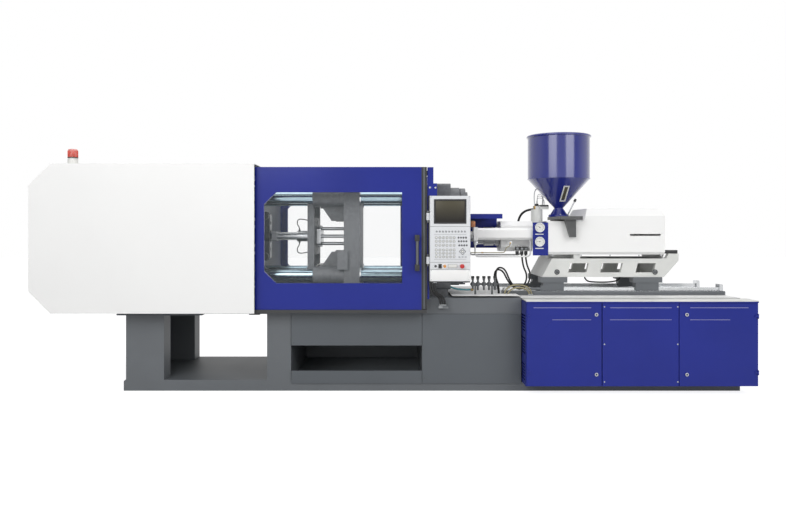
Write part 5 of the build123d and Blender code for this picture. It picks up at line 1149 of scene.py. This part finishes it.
# %% Cabinets: latches and top plates
CABINET_X0, CABINET_X1 = low("cabinet_front").x, high("cabinet_front").x
CABINET_Y = low("cabinet_front").y
DOOR_FACE = low("cabinet_door_left").y
for body, x in (("cabinet_door_left", 1706), ("cabinet_door_right", 2465)):
    discs, tongues = [], []
    for z in (685, 183):
        discs.append(ring_part((x, DOOR_FACE + 3, z), TO_FRONT, 9, 5, 2.9, sides=32))
        tongues.append(box_part(x - 8, x + 8, DOOR_FACE + 0.1, DOOR_FACE + 4, z - 2.5, z + 2.5, 0.6))
    piece(body + "_latch_rims", discs, white_plastic, body)
    piece(body + "_latches", tongues, dark_steel, body)
SIDES = (("front", -1), ("rear", 1))
for name, side in SIDES:
    near, far = sorted((side * 594, side * 809.5))
    sheet = box_part(CABINET_X0 + 1, CABINET_X1 - 1, near, far, 794, 803, 1)
    piece("cabinet_top_" + name, [sheet], white_plastic, "base")
    near, far = sorted((side * 797, side * 809.5))
    fold = box_part(CABINET_X0 + 1, CABINET_X1 - 1, near, far, 784, 794, 2)
    piece("cabinet_edge_" + name, [fold], blue_paint, "base")
for name, side in SIDES:
    near, far = sorted((side * 314, side * 318.5))
    strip = box_part(980, 3004, near, far, 807, 842, 1)
    piece("rail_strip_" + name, [strip], base_paint, "base")
hasp_screws = [(x, CABINET_Y + 12, z) for x in (1775, 2390) for z in (120, 436, 750)]
screws("cabinet_panel_screws", hasp_screws, TO_FRONT, 6, 3, steel, "base", sides=12)
print("cabinet", round(CABINET_X1 - CABINET_X0), "mm long")

# %% [markdown]
# Through the window one sees the clamp at work. Oil hoses for the ejector hang behind the
# moving platen, a curved pale cable lies behind its lower sleeve, and a bright ring closes each
# sleeve. They all sit on the moving platen or the ejector cylinder, which travel together.

# %% Clamp: ejector hoses, cable and fittings
upper_points = [
    (-777, -88, 1480), (-815, -88, 1492), (-890, -80, 1500), (-905, -40, 1450), (-885, 0, 1420),
    (-885, 0, 1386),
]
lower_points = [
    (-777, -88, 1195), (-815, -88, 1182), (-890, -80, 1175), (-905, -40, 1222), (-885, 0, 1255),
    (-885, 0, 1288),
]
for name, points in (("ejector_hose_upper", upper_points), ("ejector_hose_lower", lower_points)):
    free_hose(name, points, 4.4, rubber, "moving")
nuts = [rod_part((-885, 0, z), (-885, 0, z + 14), 11, sides=6, edge=1) for z in (1386, 1274)]
for z, lift in ((1480, 5), (1195, -5)):
    nuts.append(rod_part((-777, -88, z), (-793, -88, z + lift), 11, sides=6, edge=1))
piece("ejector_hose_nuts", nuts, steel, "moving")
PLATEN_FACE_X = -298
ring_places = [(PLATEN_FACE_X, y, z) for y in (-350, 350) for z in (987, 1687)]
rings = [ring_part(place, (1, 0, 0), 55.5, 18, 10, sides=48) for place in ring_places]
piece("sleeve_rings", rings, bright_steel, "moving")
sensor_points = [
    (-720, -205, 1035), (-700, -240, 1075), (-650, -262, 1090), (-600, -240, 1060), (-590, -205, 1020),
]
free_hose("platen_cable", sensor_points, 5, white_plastic, "moving")
print("sleeve rings", len(rings))

# %% [markdown]
# Last, the number of pieces made here is printed.

# %% Count the pieces made here
print("pieces made here", len(made))
